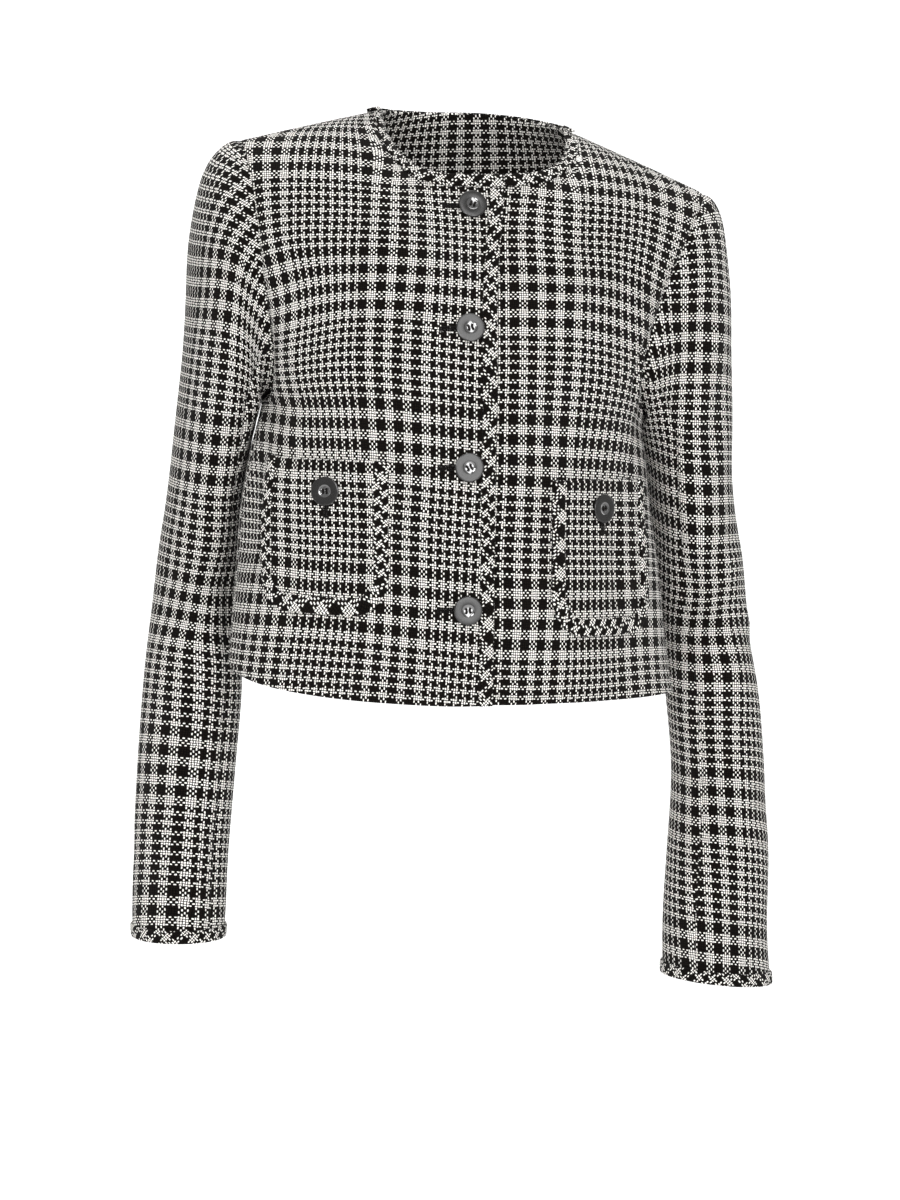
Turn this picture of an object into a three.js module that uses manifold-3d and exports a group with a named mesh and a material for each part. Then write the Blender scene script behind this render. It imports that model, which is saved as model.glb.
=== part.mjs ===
// A worn cropped jacket: boxy, collarless, four-button front, two patch pockets, long set-in sleeves,
// with narrow bands of the same cloth cut on the bias. Millimetres, +Z up, front to -Y.
// The origin lies between the two neck points. Right and left are the wearer's, so right is -X.
import * as THREE from "three";
import { mergeVertices } from "three/addons/utils/BufferGeometryUtils.js";
import Module from "manifold-3d";

// ---- Sizes ----
const CLOTH = 2.0; // one wall of the tweed
const SEAM_GAP = 0.3; // clear space between neighbouring pieces
const LIFT = 0.7; // from a face to the back of what is sewn on it
const NECK_LIFT = 1.3; // the same for the neck band, which bends over the shoulder seams
const BAND_THICK = 1.6; // a bias band
const LAP = 20; // the right front runs this far past the centre front
const UNDERLAP = 20; // the left front runs this far the other way, beneath it
const LAP_DROP = 3.4; // how far the left front lies below the right one
const LAP_RAMP = 26; // over which it comes back up beyond the lap
const NECK_BAND = 9;
const EDGE_BAND = 10;
const CUFF_BAND = 9;
const POCKET_BAND = 9;
const POCKET_WIDE = 100;
const POCKET_HIGH = 116;
const POCKET_CORNER = 24;
const BUTTON_R = 10.9;
const NECK_SHARE = 0.5; // share of a top edge, from the centre, that is neckline

// ---- Grid of the panels ----
const ROWS_PER_RING = 2;
const ARM_STEPS = 10; // rows from underarm to shoulder, and columns round half a sleeve
const HALF_COLUMNS = 14;
const LAP_COLUMNS = 2;
const UNDER_COLUMNS = 6; // columns of the under sleeve, of 2 x ARM_STEPS

// ---- Tables ----
function table(columns, ...lines) {
  return lines.map((line) => Object.fromEntries(columns.map((name, i) => [name, line[i]])));
}

// Rings of the body from hem to underarm: z at the right side, the centre and the left side; x at the
// right side, centre front, centre back and left side; y at the right side, left side, front and back;
// and how square the front and back of each half are (2 is an ellipse).
const BODY = table(
  ["zR", "zC", "zL", "xR", "xF", "xB", "xL", "yR", "yL", "yF", "yB", "nFR", "nFL", "nBR", "nBL"],
  [-420, -447, -448, -193.5, -24.5, -15, 157, -33, -22, -121, 116, 2.1, 1.85, 1.65, 1.9],
  [-394, -411, -415, -191, -24.3, -15, 152.5, -33, -20, -124, 116, 2.1, 1.82, 1.68, 1.9],
  [-345, -351, -354, -186, -24, -15, 146.5, -31, -16, -127, 117, 2.1, 1.8, 1.75, 1.95],
  [-301, -305, -308, -182, -24, -15, 140, -32, -14, -128.5, 118.5, 2.1, 1.8, 1.9, 2],
  [-262, -266, -272, -174.5, -23.5, -14.5, 137.5, -27, -9, -128, 120, 2.1, 1.85, 2, 2],
  [-224, -230, -242, -161.5, -22, -14, 136, 2, 2, -125, 120, 2.1, 1.95, 2, 2],
);

// Where the top edges run: neck point, shoulder tip, and the armhole's depth to front and back, with
// the inward curve of each half.
const TOP = {
  right: { neck: [-70, 6, 3], tip: [-177, 8, -21], front: 55, back: 52, inFront: 1, inBack: 8 },
  left: { neck: [76, 6, -11], tip: [187.5, 8, -61], front: 54, back: 50, inFront: 18, inBack: 14 },
};
const NECK_MIDDLE = { front: [-5, -64, -49], back: [2, 54, 1] };
// How the neckline runs between them: ease spreads its columns, square holds it out to the sides (1 is
// an ellipse in plan), drop is how soon it falls from the neck point.
const NECK_SHAPE = {
  front: { ease: 1.5, square: 0.5, drop: 0.9 },
  back: { ease: 1, square: 1, drop: 1.6 },
};
const CENTRE_BULGE = { front: [-4, -5.5], back: [-1, 11] }; // x and y at the chest and shoulder blades
const SHOULDER_ROUND = { front: [-16, 8], back: [17, 8] }; // y and z below the shoulder seam
const TOP_SOFT = 0.3; // the corner at the neck point is rounded over this share below the edge
const SOFT_WEIGHTS = [1, 4, 8, 11, 12, 11, 8, 4, 1];

// Rings of each sleeve from armhole to cuff: x and z of the outermost and innermost points, their y,
// half the depth, and how much of the armhole's own shape is left.
const SLEEVE_COLUMNS = ["ox", "oz", "ix", "iz", "oy", "iy", "deep", "arm"];
const SLEEVE = {
  right: table(
    SLEEVE_COLUMNS,
    [-177, -21, -160, -224, 8, 2, 54, 1],
    [-184, -22.5, -161.5, -227, 9, 7, 55, 0.8],
    [-191, -27, -163, -231, 11, 11, 56, 0.6],
    [-200, -38, -164, -236, 14, 15, 57, 0.4],
    [-208, -58, -165, -243, 17, 19, 58, 0.2],
    [-215, -96, -167, -253, 21, 26, 59, 0],
    [-217.5, -146, -169, -268, 27, 32, 59, 0],
    [-221, -210, -171, -286, 36, 40, 57, 0],
    [-227, -268, -172.5, -314, 46, 50, 54, 0],
    [-236, -331, -173.5, -354, 54, 58, 51, 0],
    [-242, -386, -173, -400, 58, 61, 49, 0],
    [-249, -445, -171.5, -450, 56, 58, 48, 0],
    [-256, -507, -179, -511, 43, 44, 46.5, 0],
    [-261, -571, -187, -574, 26, 26, 45, 0],
    [-263, -613, -191, -615, 14, 14, 43.5, 0],
    [-263, -636, -193, -636, 8, 8, 42.5, 0],
  ),
  left: table(
    SLEEVE_COLUMNS,
    [187.5, -61, 136, -242, 8, 2, 52, 1],
    [194, -65, 138, -246, 9, 7, 53, 0.8],
    [199.5, -72, 139.5, -250, 11, 11, 54, 0.6],
    [204.5, -83, 141, -255, 14, 15, 55, 0.4],
    [208, -102, 143, -262, 17, 19, 56, 0.2],
    [211, -134, 145, -271, 21, 23, 57, 0],
    [213, -185, 148, -285, 26, 28, 58, 0],
    [216, -240, 151, -306, 33, 34, 56, 0],
    [219, -298, 156, -332, 41, 42, 53, 0],
    [230, -353, 158.5, -371, 48, 49, 50, 0],
    [237, -410, 165.5, -418, 52, 53, 49, 0],
    [244, -462, 171, -463, 49, 50, 48, 0],
    [247, -522, 172.5, -519, 38, 38, 46.5, 0],
    [246, -585, 166, -583, 24, 24, 45, 0],
    [244, -640, 161, -639, 14, 14, 43.5, 0],
    [245, -687, 159, -678, 8, 8, 42.5, 0],
  ),
};
const STEPS_AFTER_RING = [1, 1, 1, 1, 2, 2, 2, 2, 3, 3, 2, 2, 2, 1, 1];

// Folds: each is a soft trough (height under 0) or ridge between two points, with the reach of its sides.
const FOLD_COLUMNS = ["x1", "y1", "z1", "x2", "y2", "z2", "wide", "high"];
const BODY_FOLDS = table(
  FOLD_COLUMNS,
  [-170, -50, -150, -178, -56, -330, 12, -3.5],
  [-148, -78, -120, -156, -84, -250, 16, 3],
  [150, -50, -120, 134, -46, -238, 12, -4],
  [134, -44, -238, 110, -78, -286, 14, -3],
  [128, -56, -236, 119, -70, -312, 14, 2.2],
  [108, -84, -312, 111, -80, -405, 20, -2.6],
  [-120, -100, -390, -124, -96, -440, 16, 2.5],
  [66, -104, -400, 70, -100, -445, 18, 2.5],
  [-146, 72, -150, -112, 104, -250, 16, -4],
  [128, 70, -165, 96, 102, -262, 16, -4],
  [-86, 108, -290, -92, 108, -442, 20, 4],
  [-30, 118, -330, -34, 118, -444, 18, -3],
  [44, 112, -300, 50, 112, -446, 20, 4],
);
const SLEEVE_FOLDS = {
  right: table(
    FOLD_COLUMNS,
    [-236, 20, -345, -186, 10, -372, 15, -3.5],
    [-238, 34, -380, -196, 10, -415, 14, -3],
    [-214, 4, -358, -188, 8, -398, 13, 2.5],
    [-205, -34, -170, -190, -22, -300, 15, -3],
    [-236, 78, -300, -190, 96, -350, 15, -4],
    [-244, 88, -380, -196, 102, -410, 15, -4],
    [-250, 20, -520, -206, 0, -556, 15, -2.5],
    [-258, 40, -575, -210, 60, -600, 15, -2.5],
  ),
  left: table(
    FOLD_COLUMNS,
    [222, 10, -324, 176, 6, -372, 15, -4.5],
    [232, 20, -372, 184, 8, -412, 14, -4],
    [224, 8, -348, 176, 8, -394, 13, 3],
    [204, -34, -190, 176, -26, -300, 15, -3],
    [226, 80, -310, 172, 92, -360, 15, -4],
    [238, 84, -390, 186, 98, -420, 15, -4],
    [246, 14, -540, 196, -4, -580, 15, -2.5],
    [244, 40, -610, 196, 52, -632, 15, -2.5],
  ),
};

// Patch pockets: x and z of the upper and lower ends of the inner edge. The width is laid off along
// the cloth from there, towards the side seam.
const POCKETS = {
  right: { top: [-83, -263], low: [-83, -378] },
  left: { top: [43, -279], low: [43, -396] },
};
// Front buttons (how far to the left of the centre front, and z), pocket buttons (x and z).
const FRONT_BUTTONS = table(["off", "z"], [-3.5, -72.4], [0, -164], [0, -267], [0, -374]);
const POCKET_BUTTONS = { right: [-127, -285], left: [84, -301] };

// Turned section of a button: radius and height, from the middle of the back to the middle of the eye.
const BUTTON_SECTION = [
  [BUTTON_R - 1.2, 0],
  [BUTTON_R, 0.9],
  [BUTTON_R, 1.9],
  [BUTTON_R - 0.9, 2.6],
  [BUTTON_R - 2.6, 2.4],
  [6.2, 2.4],
  [5.4, 1.8],
];
const BUTTON_SIDES = 18;
const HOLE_R = 1.0;
const HOLE_AT = 1.9; // from the button's centre, along x and along y

// ---- Small helpers ----
const V = (x, y, z) => new THREE.Vector3(x, y, z);
const lerp = (a, b, s) => a + (b - a) * s;
const smooth = (s) => {
  const c = Math.min(Math.max(s, 0), 1);
  return c * c * (3 - 2 * c);
};
const mix = (a, b, s) => a.clone().lerp(b, s);
const sideOf = (t) => (t > 0 ? "left" : "right");

// Smooth curve through a list of rows: value of each column at place w (0 is the first row).
function along(list, w, read) {
  const k = Math.min(Math.floor(w), list.length - 2);
  const f = w - k;
  const at = (i) => read(list[Math.min(Math.max(i, 0), list.length - 1)]);
  const p1 = at(k);
  const p2 = at(k + 1);
  const p0 = k > 0 ? at(k - 1) : p1 * 2 - p2;
  const p3 = k + 2 < list.length ? at(k + 2) : p2 * 2 - p1;
  const a = 2 * p1 - 2 * p2 + (p2 - p0) / 2 + (p3 - p1) / 2;
  const b = 3 * p2 - 3 * p1 - (p2 - p0) - (p3 - p1) / 2;
  return ((a * f + b) * f + (p2 - p0) / 2) * f + p1;
}

// One row at place w, each column on its own smooth curve.
function rowAt(list, w) {
  return Object.fromEntries(Object.keys(list[0]).map((name) => [name, along(list, w, (r) => r[name])]));
}

// How far a fold table moves the surface outwards at a point.
function foldHeight(folds, p) {
  let height = 0;
  for (const f of folds) {
    const a = V(f.x1, f.y1, f.z1);
    const line = V(f.x2, f.y2, f.z2).sub(a);
    const s = Math.min(Math.max(p.clone().sub(a).dot(line) / line.lengthSq(), 0), 1);
    const far = p.distanceTo(a.addScaledVector(line, s)) / f.wide;
    height += f.high * Math.exp(-far * far) * (0.35 + 0.65 * Math.sin(Math.PI * s));
  }
  return height;
}

// ---- The body's surface: t runs -1 (right side) to 1 (left side), v runs 0 (hem) to 1 (top) ----
const V_ARM = 0.5; // v of the underarm

function ringPoint(ring, face, t) {
  const q = Math.min(Math.abs(t), 1);
  const half = t > 0 ? "L" : "R";
  const part = face === "front" ? "F" : "B";
  const n = ring[`n${part}${half}`];
  const c = Math.cos((q * Math.PI) / 2);
  const s = Math.sin((q * Math.PI) / 2);
  const reach = (Math.max(c, 0) ** n + s ** n) ** (-1 / n);
  return V(
    lerp(ring[`x${part}`], ring[`x${half}`], reach * s),
    lerp(ring[`y${half}`], ring[`y${part}`], reach * c),
    lerp(ring.zC, ring[`z${half}`], q ** 1.5),
  );
}

// The neckline and shoulder seam, from the centre to the shoulder tip.
function topPoint(face, t) {
  const side = TOP[sideOf(t)];
  const q = Math.min(Math.abs(t), 1);
  const neck = V(...side.neck);
  if (q >= NECK_SHARE) return mix(neck, V(...side.tip), (q - NECK_SHARE) / (1 - NECK_SHARE));
  const shape = NECK_SHAPE[face];
  const angle = ((q / NECK_SHARE) ** shape.ease * Math.PI) / 2;
  const middle = V(...NECK_MIDDLE[face]);
  const fall = Math.cos(angle);
  return V(
    lerp(middle.x, neck.x, Math.sin(angle) ** shape.square),
    lerp(neck.y, middle.y, fall),
    lerp(neck.z, middle.z, fall ** shape.drop),
  );
}

// The armhole, from underarm (r = 0) to shoulder tip (r = 1).
function armholePoint(face, t, r) {
  const side = TOP[sideOf(t)];
  const low = ringPoint(BODY[BODY.length - 1], face, Math.sign(t));
  const tip = V(...side.tip);
  const angle = Math.PI * r;
  const out = Math.sin(angle);
  const p = mix(low, tip, (1 - Math.cos(angle)) / 2);
  p.y += face === "front" ? -side.front * out : side.back * out;
  p.x -= Math.sign(t) * (face === "front" ? side.inFront : side.inBack) * out * out;
  return p;
}

// The top edge with its corner at the neck point rounded off.
function softTop(face, t) {
  const h = TOP_SOFT * Math.min(1, (1 - Math.abs(t)) / TOP_SOFT);
  const p = V(0, 0, 0);
  SOFT_WEIGHTS.forEach((weight, i) => p.addScaledVector(topPoint(face, t + ((i - 4) * h) / 4), weight / 60));
  return p;
}

// The chest and back above the underarm, between four edges.
function yokeDraft(face, t, r) {
  const end = t > 0 ? 1 : -1;
  const low = BODY[BODY.length - 1];
  const soft = softTop(face, t);
  const p = mix(ringPoint(low, face, t), soft, r);
  p.addScaledVector(topPoint(face, t).sub(soft), r ** 3);
  const nearArm = smooth(Math.abs(t));
  const chord = mix(ringPoint(low, face, end), topPoint(face, end), r);
  p.addScaledVector(armholePoint(face, end, r).sub(chord), nearArm);
  const bulge = 16 * r * r * (1 - r) * (1 - r) * (1 - nearArm);
  p.x += CENTRE_BULGE[face][0] * bulge;
  p.y += CENTRE_BULGE[face][1] * bulge;
  const round = 6.75 * r * r * (1 - r) * smooth(Math.abs(t) / 0.5) * smooth((1 - Math.abs(t)) / 0.5);
  p.y += SHOULDER_ROUND[face][0] * round;
  p.z += SHOULDER_ROUND[face][1] * round;
  return p;
}

// The same, leaving the underarm ring in the direction in which the body below comes up to it.
function yokePoint(face, t, r) {
  const e = 1e-3;
  const start = yokeDraft(face, t, 0);
  const speed = yokeDraft(face, t, e).sub(start).divideScalar(e);
  const below = ringPoint(rowAt(BODY, BODY.length - 1 - e), face, t);
  const rise = start.sub(below).setLength(speed.length());
  const share = r * (1 - r) * (1 - r) * (1 - smooth(Math.abs(t)));
  return yokeDraft(face, t, r).addScaledVector(rise.sub(speed), share);
}

function bodyPoint(face, t, v) {
  let p;
  if (v > V_ARM) p = yokePoint(face, t, (v - V_ARM) / (1 - V_ARM));
  else {
    const w = (v / V_ARM) * (BODY.length - 1);
    p = ringPoint(rowAt(BODY, w), face, t);
  }
  const out = V(p.x + 15, p.y, 0).normalize();
  return p.addScaledVector(out, foldHeight(BODY_FOLDS, p));
}

function bodyNormal(face, t, v) {
  const e = 1e-3;
  const t1 = Math.min(t + e, 1);
  const t0 = Math.max(t - e, -1);
  const v0 = v > e ? v - e : v;
  const v1 = v > e ? v : v + e;
  const across = bodyPoint(face, t1, v).sub(bodyPoint(face, t0, v));
  const up = bodyPoint(face, t, v1).sub(bodyPoint(face, t, v0));
  const n = across.cross(up).normalize();
  return face === "front" ? n : n.negate();
}

// The t of the point dx to the left of the centre front, in row v.
function tAt(v, dx) {
  const x = bodyPoint("front", 0, v).x + dx;
  let lo = -0.6;
  let hi = 0.6;
  for (let i = 0; i < 30; i++) {
    const mid = (lo + hi) / 2;
    if (bodyPoint("front", mid, v).x < x) lo = mid;
    else hi = mid;
  }
  return (lo + hi) / 2;
}

// ---- The sleeve's surface: a runs 0 to 1 round from the outside by the front, w along the rings ----
function armholeLoop(side, a) {
  const end = side === "left" ? 1 : -1;
  const half = a <= 0.5 ? a * 2 : (1 - a) * 2;
  return bodyPoint(a <= 0.5 ? "front" : "back", end, lerp(1, V_ARM, half));
}

function sleeveRing(row, a) {
  const c = Math.cos(2 * Math.PI * a);
  const s = Math.sin(2 * Math.PI * a);
  return V(
    lerp(row.ix, row.ox, (1 + c) / 2),
    lerp(row.iy, row.oy, (1 + c) / 2) - row.deep * s,
    lerp(row.iz, row.oz, (1 + c) / 2),
  );
}

function sleevePoint(side, a, w) {
  const row = rowAt(SLEEVE[side], w);
  const p = sleeveRing(row, a);
  const own = armholeLoop(side, a).sub(sleeveRing(SLEEVE[side][0], a));
  p.addScaledVector(own, row.arm);
  const out = V(p.x - (row.ox + row.ix) / 2, p.y - (row.oy + row.iy) / 2, 0).normalize();
  return p.addScaledVector(out, foldHeight(SLEEVE_FOLDS[side], p) * smooth(w / 5));
}

function sleeveNormal(side, a, w) {
  const e = 1e-3;
  const last = SLEEVE[side].length - 1;
  const wrap = (s) => s - Math.floor(s);
  const round = sleevePoint(side, wrap(a + e), w).sub(sleevePoint(side, wrap(a - e), w));
  const down = sleevePoint(side, a, Math.min(w + e, last)).sub(sleevePoint(side, a, Math.max(w - e, 0)));
  const n = round.cross(down).normalize();
  return side === "left" ? n : n.negate();
}

// ---- Walls ----
// The inward direction and depth at a seam, shared by the pieces that meet there.
function shared(own, others) {
  const sum = own.clone();
  for (const n of others) if (own.dot(n) > 0.3) sum.add(n);
  sum.normalize();
  return sum.divideScalar(Math.max(own.dot(sum), 0.6));
}

// A closed body between two grids of points. wrap closes it round on itself.
function slab(outer, inner, wrap = false) {
  const rows = outer.length;
  const cols = outer[0].length;
  const points = [...outer.flat(), ...inner.flat()];
  const faces = [];
  const at = (i, j, deep) => deep * rows * cols + i * cols + (j % cols);
  const quad = (a, b, c, d) => faces.push(a, b, c, a, c, d);
  const across = wrap ? cols : cols - 1;
  for (let i = 0; i < rows - 1; i++)
    for (let j = 0; j < across; j++) {
      quad(at(i, j, 0), at(i, j + 1, 0), at(i + 1, j + 1, 0), at(i + 1, j, 0));
      quad(at(i, j, 1), at(i + 1, j, 1), at(i + 1, j + 1, 1), at(i, j + 1, 1));
    }
  for (let j = 0; j < across; j++) {
    quad(at(0, j, 0), at(0, j, 1), at(0, j + 1, 1), at(0, j + 1, 0));
    quad(at(rows - 1, j, 0), at(rows - 1, j + 1, 0), at(rows - 1, j + 1, 1), at(rows - 1, j, 1));
  }
  if (!wrap)
    for (let i = 0; i < rows - 1; i++) {
      quad(at(i, 0, 0), at(i + 1, 0, 0), at(i + 1, 0, 1), at(i, 0, 1));
      quad(at(i, cols - 1, 0), at(i, cols - 1, 1), at(i + 1, cols - 1, 1), at(i + 1, cols - 1, 0));
    }
  return closedGeometry(points, faces);
}

function closedGeometry(points, faces) {
  let volume = 0;
  for (let i = 0; i < faces.length; i += 3) {
    const [a, b, c] = [points[faces[i]], points[faces[i + 1]], points[faces[i + 2]]];
    volume += a.dot(b.clone().cross(c));
  }
  if (volume < 0)
    for (let i = 0; i < faces.length; i += 3)
      [faces[i + 1], faces[i + 2]] = [faces[i + 2], faces[i + 1]];
  const geometry = new THREE.BufferGeometry();
  geometry.setAttribute("position", new THREE.Float32BufferAttribute(points.flatMap((p) => [p.x, p.y, p.z]), 3));
  geometry.setIndex(faces);
  geometry.computeVertexNormals();
  return geometry;
}

// The outer points of a grid of cells. A cell on a seam draws back from it by half the gap, towards the
// neighbours named in back; where two faces fold together it also sinks in by as much.
function outerPoints(grid) {
  return grid.map((line, i) =>
    line.map((cell, j) => {
      const p = cell.point.clone();
      for (const [di, dj] of cell.back) {
        const toward = grid[i + di][j + dj].point.clone().sub(cell.point).normalize();
        p.addScaledVector(toward, SEAM_GAP / 2);
      }
      if (cell.sinks) p.addScaledVector(cell.normal, -SEAM_GAP / 2);
      return p;
    }),
  );
}

// A cloth wall from a grid of cells, each with its point, its normal and its inward step.
function wall(grid) {
  const outer = outerPoints(grid);
  const inner = outer.map((line, i) =>
    line.map((p, j) => p.clone().addScaledVector(grid[i][j].inward ?? grid[i][j].normal, -CLOTH)),
  );
  return slab(outer, inner);
}

// ---- Body panels ----
function rowPlaces() {
  const places = [];
  const rings = (BODY.length - 1) * ROWS_PER_RING;
  for (let i = 0; i <= rings; i++) places.push((i / rings) * V_ARM);
  for (let i = 1; i <= ARM_STEPS; i++) places.push(V_ARM + (i / ARM_STEPS) * (1 - V_ARM));
  return places;
}

function bodyCell(face, t, v, isSide, isTop) {
  const other = face === "front" ? "back" : "front";
  const cell = { point: bodyPoint(face, t, v), normal: bodyNormal(face, t, v), back: [] };
  const partners = [];
  const end = Math.sign(t);
  const onShoulder = isTop && Math.abs(t) > NECK_SHARE - 1e-6;
  if (isSide) {
    cell.back.push([0, -end]);
    const side = sideOf(t);
    const half = (1 - v) / (1 - V_ARM) / 2;
    if (v <= V_ARM || isTop) partners.push(bodyNormal(other, t, v));
    if (v >= V_ARM) partners.push(sleeveNormal(side, face === "front" ? half : (1 - half) % 1, 0));
  }
  if (onShoulder) {
    cell.back.push([-1, 0]);
    if (!isSide) partners.push(bodyNormal(other, t, v));
  }
  cell.inward = shared(cell.normal, partners);
  cell.sinks = partners.some((n) => n.dot(cell.normal) < 0.3);
  return cell;
}

// Columns of a front, from its side seam to its overlapping edge: t for each row.
function frontColumns(side, v) {
  const end = side === "left" ? 1 : -1;
  const edge = side === "left" ? tAt(v, -UNDERLAP) : tAt(v, LAP);
  const list = [];
  for (let i = 0; i <= HALF_COLUMNS; i++) list.push(end * (1 - i / HALF_COLUMNS));
  for (let i = 1; i <= LAP_COLUMNS; i++) list.push((edge * i) / LAP_COLUMNS);
  return side === "left" ? list.reverse() : list;
}

function frontGrid(side) {
  const places = rowPlaces();
  return places.map((v, i) =>
    frontColumns(side, v).map((t) => {
      const cell = bodyCell("front", t, v, Math.abs(t) > 1 - 1e-9, i === places.length - 1);
      if (side === "left") {
        const past = cell.point.x - bodyPoint("front", 0, v).x - LAP;
        cell.point.addScaledVector(cell.normal, -LAP_DROP * (1 - smooth(past / LAP_RAMP)));
      }
      return cell;
    }),
  );
}

function backGrid() {
  const places = rowPlaces();
  const ts = Array.from({ length: 2 * HALF_COLUMNS + 1 }, (_, i) => i / HALF_COLUMNS - 1);
  return places.map((v, i) =>
    ts.map((t) => bodyCell("back", t, v, Math.abs(t) > 1 - 1e-9, i === places.length - 1)),
  );
}

const GRIDS = { right: frontGrid("right"), left: frontGrid("left"), back: backGrid() };

// ---- Sleeve panels ----
function ringPlaces() {
  return STEPS_AFTER_RING.flatMap((n, k) => Array.from({ length: n }, (_, i) => k + i / n)).concat(
    STEPS_AFTER_RING.length,
  );
}

// first and last count the columns round from the outside by the front; last may pass the full turn.
function sleevePanel(side, first, last) {
  const around = 2 * ARM_STEPS;
  const end = side === "left" ? 1 : -1;
  const grid = ringPlaces().map((w, i) => {
    const line = [];
    for (let j = first; j <= last; j++) {
      const a = (((j % around) + around) % around) / around;
      const cell = { point: sleevePoint(side, a, w), normal: sleeveNormal(side, a, w), back: [] };
      if (j === first) cell.back.push([0, 1]);
      if (j === last) cell.back.push([0, -1]);
      if (i === 0) {
        const half = a <= 0.5 ? a * 2 : (1 - a) * 2;
        const v = lerp(1, V_ARM, half);
        const faces = a === 0 || a === 0.5 ? ["front", "back"] : [a < 0.5 ? "front" : "back"];
        cell.back.push([1, 0]);
        const partners = faces.map((face) => bodyNormal(face, end, v));
        cell.inward = shared(cell.normal, partners);
        cell.sinks = partners.some((n) => n.dot(cell.normal) < 0.3);
      }
      line.push(cell);
    }
    return line;
  });
  return wall(grid);
}

// ---- What lies on the panels ----
// A strip from stations across its length; each station is a list of [point, outward normal].
function strip(stations, lift, thick, wrap = false) {
  const moved = (far) => stations.map((line) => line.map(([p, n]) => p.clone().addScaledVector(n, far)));
  const turn = (grid) => grid[0].map((_, j) => grid.map((line) => line[j]));
  const outer = moved(lift + thick);
  const inner = moved(lift);
  return wrap ? slab(turn(outer), turn(inner), true) : slab(outer, inner);
}

// Places spread over the upper facets of the body panels, each with its facet's direction.
const SAMPLES = Object.entries(GRIDS).flatMap(([name, grid]) => {
  const rows = outerPoints(grid).slice(-4);
  const list = [];
  for (let i = 0; i < rows.length - 1; i++)
    for (let j = 0; j < rows[0].length - 1; j++) {
      const [a, b, c, d] = [rows[i][j], rows[i][j + 1], rows[i + 1][j + 1], rows[i + 1][j]];
      for (const [p, q, r] of [[a, b, c], [a, c, d]]) {
        const facing = q.clone().sub(p).cross(r.clone().sub(p)).normalize();
        if (name === "back") facing.negate();
        for (let m = 0; m <= 6; m++)
          for (let k = 0; k <= 6 - m; k++)
            list.push([mix(p, q, m / 6).addScaledVector(r.clone().sub(p), k / 6), facing]);
      }
    }
  return list;
});

// A point brought onto the nearest facet.
function onto(p) {
  let best = SAMPLES[0];
  let least = Infinity;
  for (const sample of SAMPLES) {
    const far = sample[0].distanceToSquared(p);
    if (far < least) {
      least = far;
      best = sample;
    }
  }
  return p.clone().addScaledVector(best[1], best[0].clone().sub(p).dot(best[1]));
}

// Stations along the neckline, from the front edge round the back of the neck to the left front. They
// stand closer together towards the neck points, where the cloth turns over the shoulder seam.
function neckStations(width) {
  const line = [];
  const start = tAt(1, LAP);
  const stop = tAt(1, LAP + 1.5);
  const steps = 14;
  const closing = (s) => 1 - (1 - s) ** 1.8;
  for (let i = 0; i <= steps; i++) line.push(["front", lerp(start, -NECK_SHARE, closing(i / steps))]);
  for (let i = 1; i <= steps; i++) line.push(["back", -NECK_SHARE * closing(1 - i / steps)]);
  for (let i = 1; i < steps; i++) line.push(["back", NECK_SHARE * closing(i / steps)]);
  for (let i = 0; i <= steps; i++) line.push(["front", lerp(stop, NECK_SHARE, closing(1 - i / steps))]);
  const points = line.map(([face, t]) => bodyPoint(face, t, 1));
  return points.map((p, i) => {
    const [face, t] = line[i];
    const ahead = points[Math.min(i + 1, points.length - 1)].clone().sub(points[Math.max(i - 1, 0)]);
    const own = bodyNormal(face, t, 1);
    if (Math.abs(t) > NECK_SHARE - 1e-6) own.add(bodyNormal("back", t, 1)).normalize();
    const down = own.clone().cross(ahead).normalize();
    return [-0.7, width * 0.45, width].map((far) => [onto(p.clone().addScaledVector(down, far)), own]);
  });
}

// Stations down the right front's edge, from under the neck band to the hem.
function edgeStations() {
  const steps = 26;
  const top = 1 - (NECK_BAND + SEAM_GAP + 0.4) / 340;
  const list = [];
  for (let i = 0; i <= steps; i++) {
    const v = lerp(top, 0, i / steps);
    list.push(
      [0.7, -0.5 * EDGE_BAND, -EDGE_BAND].map((far) => {
        const t = tAt(v, LAP + far);
        return [bodyPoint("front", t, v), bodyNormal("front", t, v)];
      }),
    );
  }
  return list;
}

function cuffStations(side) {
  const last = SLEEVE[side].length - 1;
  const around = 2 * ARM_STEPS;
  const list = [];
  for (let j = 0; j < around; j++) {
    const a = j / around;
    const foot = sleevePoint(side, a, last);
    const down = foot.clone().sub(sleevePoint(side, a, last - 0.3)).normalize();
    const n = sleeveNormal(side, a, last);
    list.push([0.7, -0.5 * CUFF_BAND, -CUFF_BAND].map((far) => [foot.clone().addScaledVector(down, far), n]));
  }
  return list;
}

// ---- Pockets ----
// The t and v of the front's point with a given x and z.
function frontPlace([x, z], side) {
  let t = side === "left" ? 0.45 : -0.45;
  let v = 0.25;
  for (let i = 0; i < 40; i++) {
    const e = 1e-4;
    const p = bodyPoint("front", t, v);
    const a = bodyPoint("front", t + e, v).sub(p).divideScalar(e);
    const b = bodyPoint("front", t, v + e).sub(p).divideScalar(e);
    const det = a.x * b.z - b.x * a.z;
    const [dx, dz] = [x - p.x, z - p.z];
    t += 0.6 * ((dx * b.z - b.x * dz) / det);
    v += 0.6 * ((a.x * dz - dx * a.z) / det);
    t = Math.min(Math.max(t, -0.97), 0.97);
    v = Math.min(Math.max(v, 0), 1);
  }
  return [t, v];
}

// The t reached by going a distance along row v from t towards the side.
function walk(t, v, side, distance) {
  const step = side === "left" ? 0.002 : -0.002;
  let gone = 0;
  let here = bodyPoint("front", t, v);
  while (gone < distance && Math.abs(t) < 0.98) {
    const next = bodyPoint("front", t + step, v);
    gone += next.distanceTo(here);
    here = next;
    t += step;
  }
  return t;
}

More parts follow.
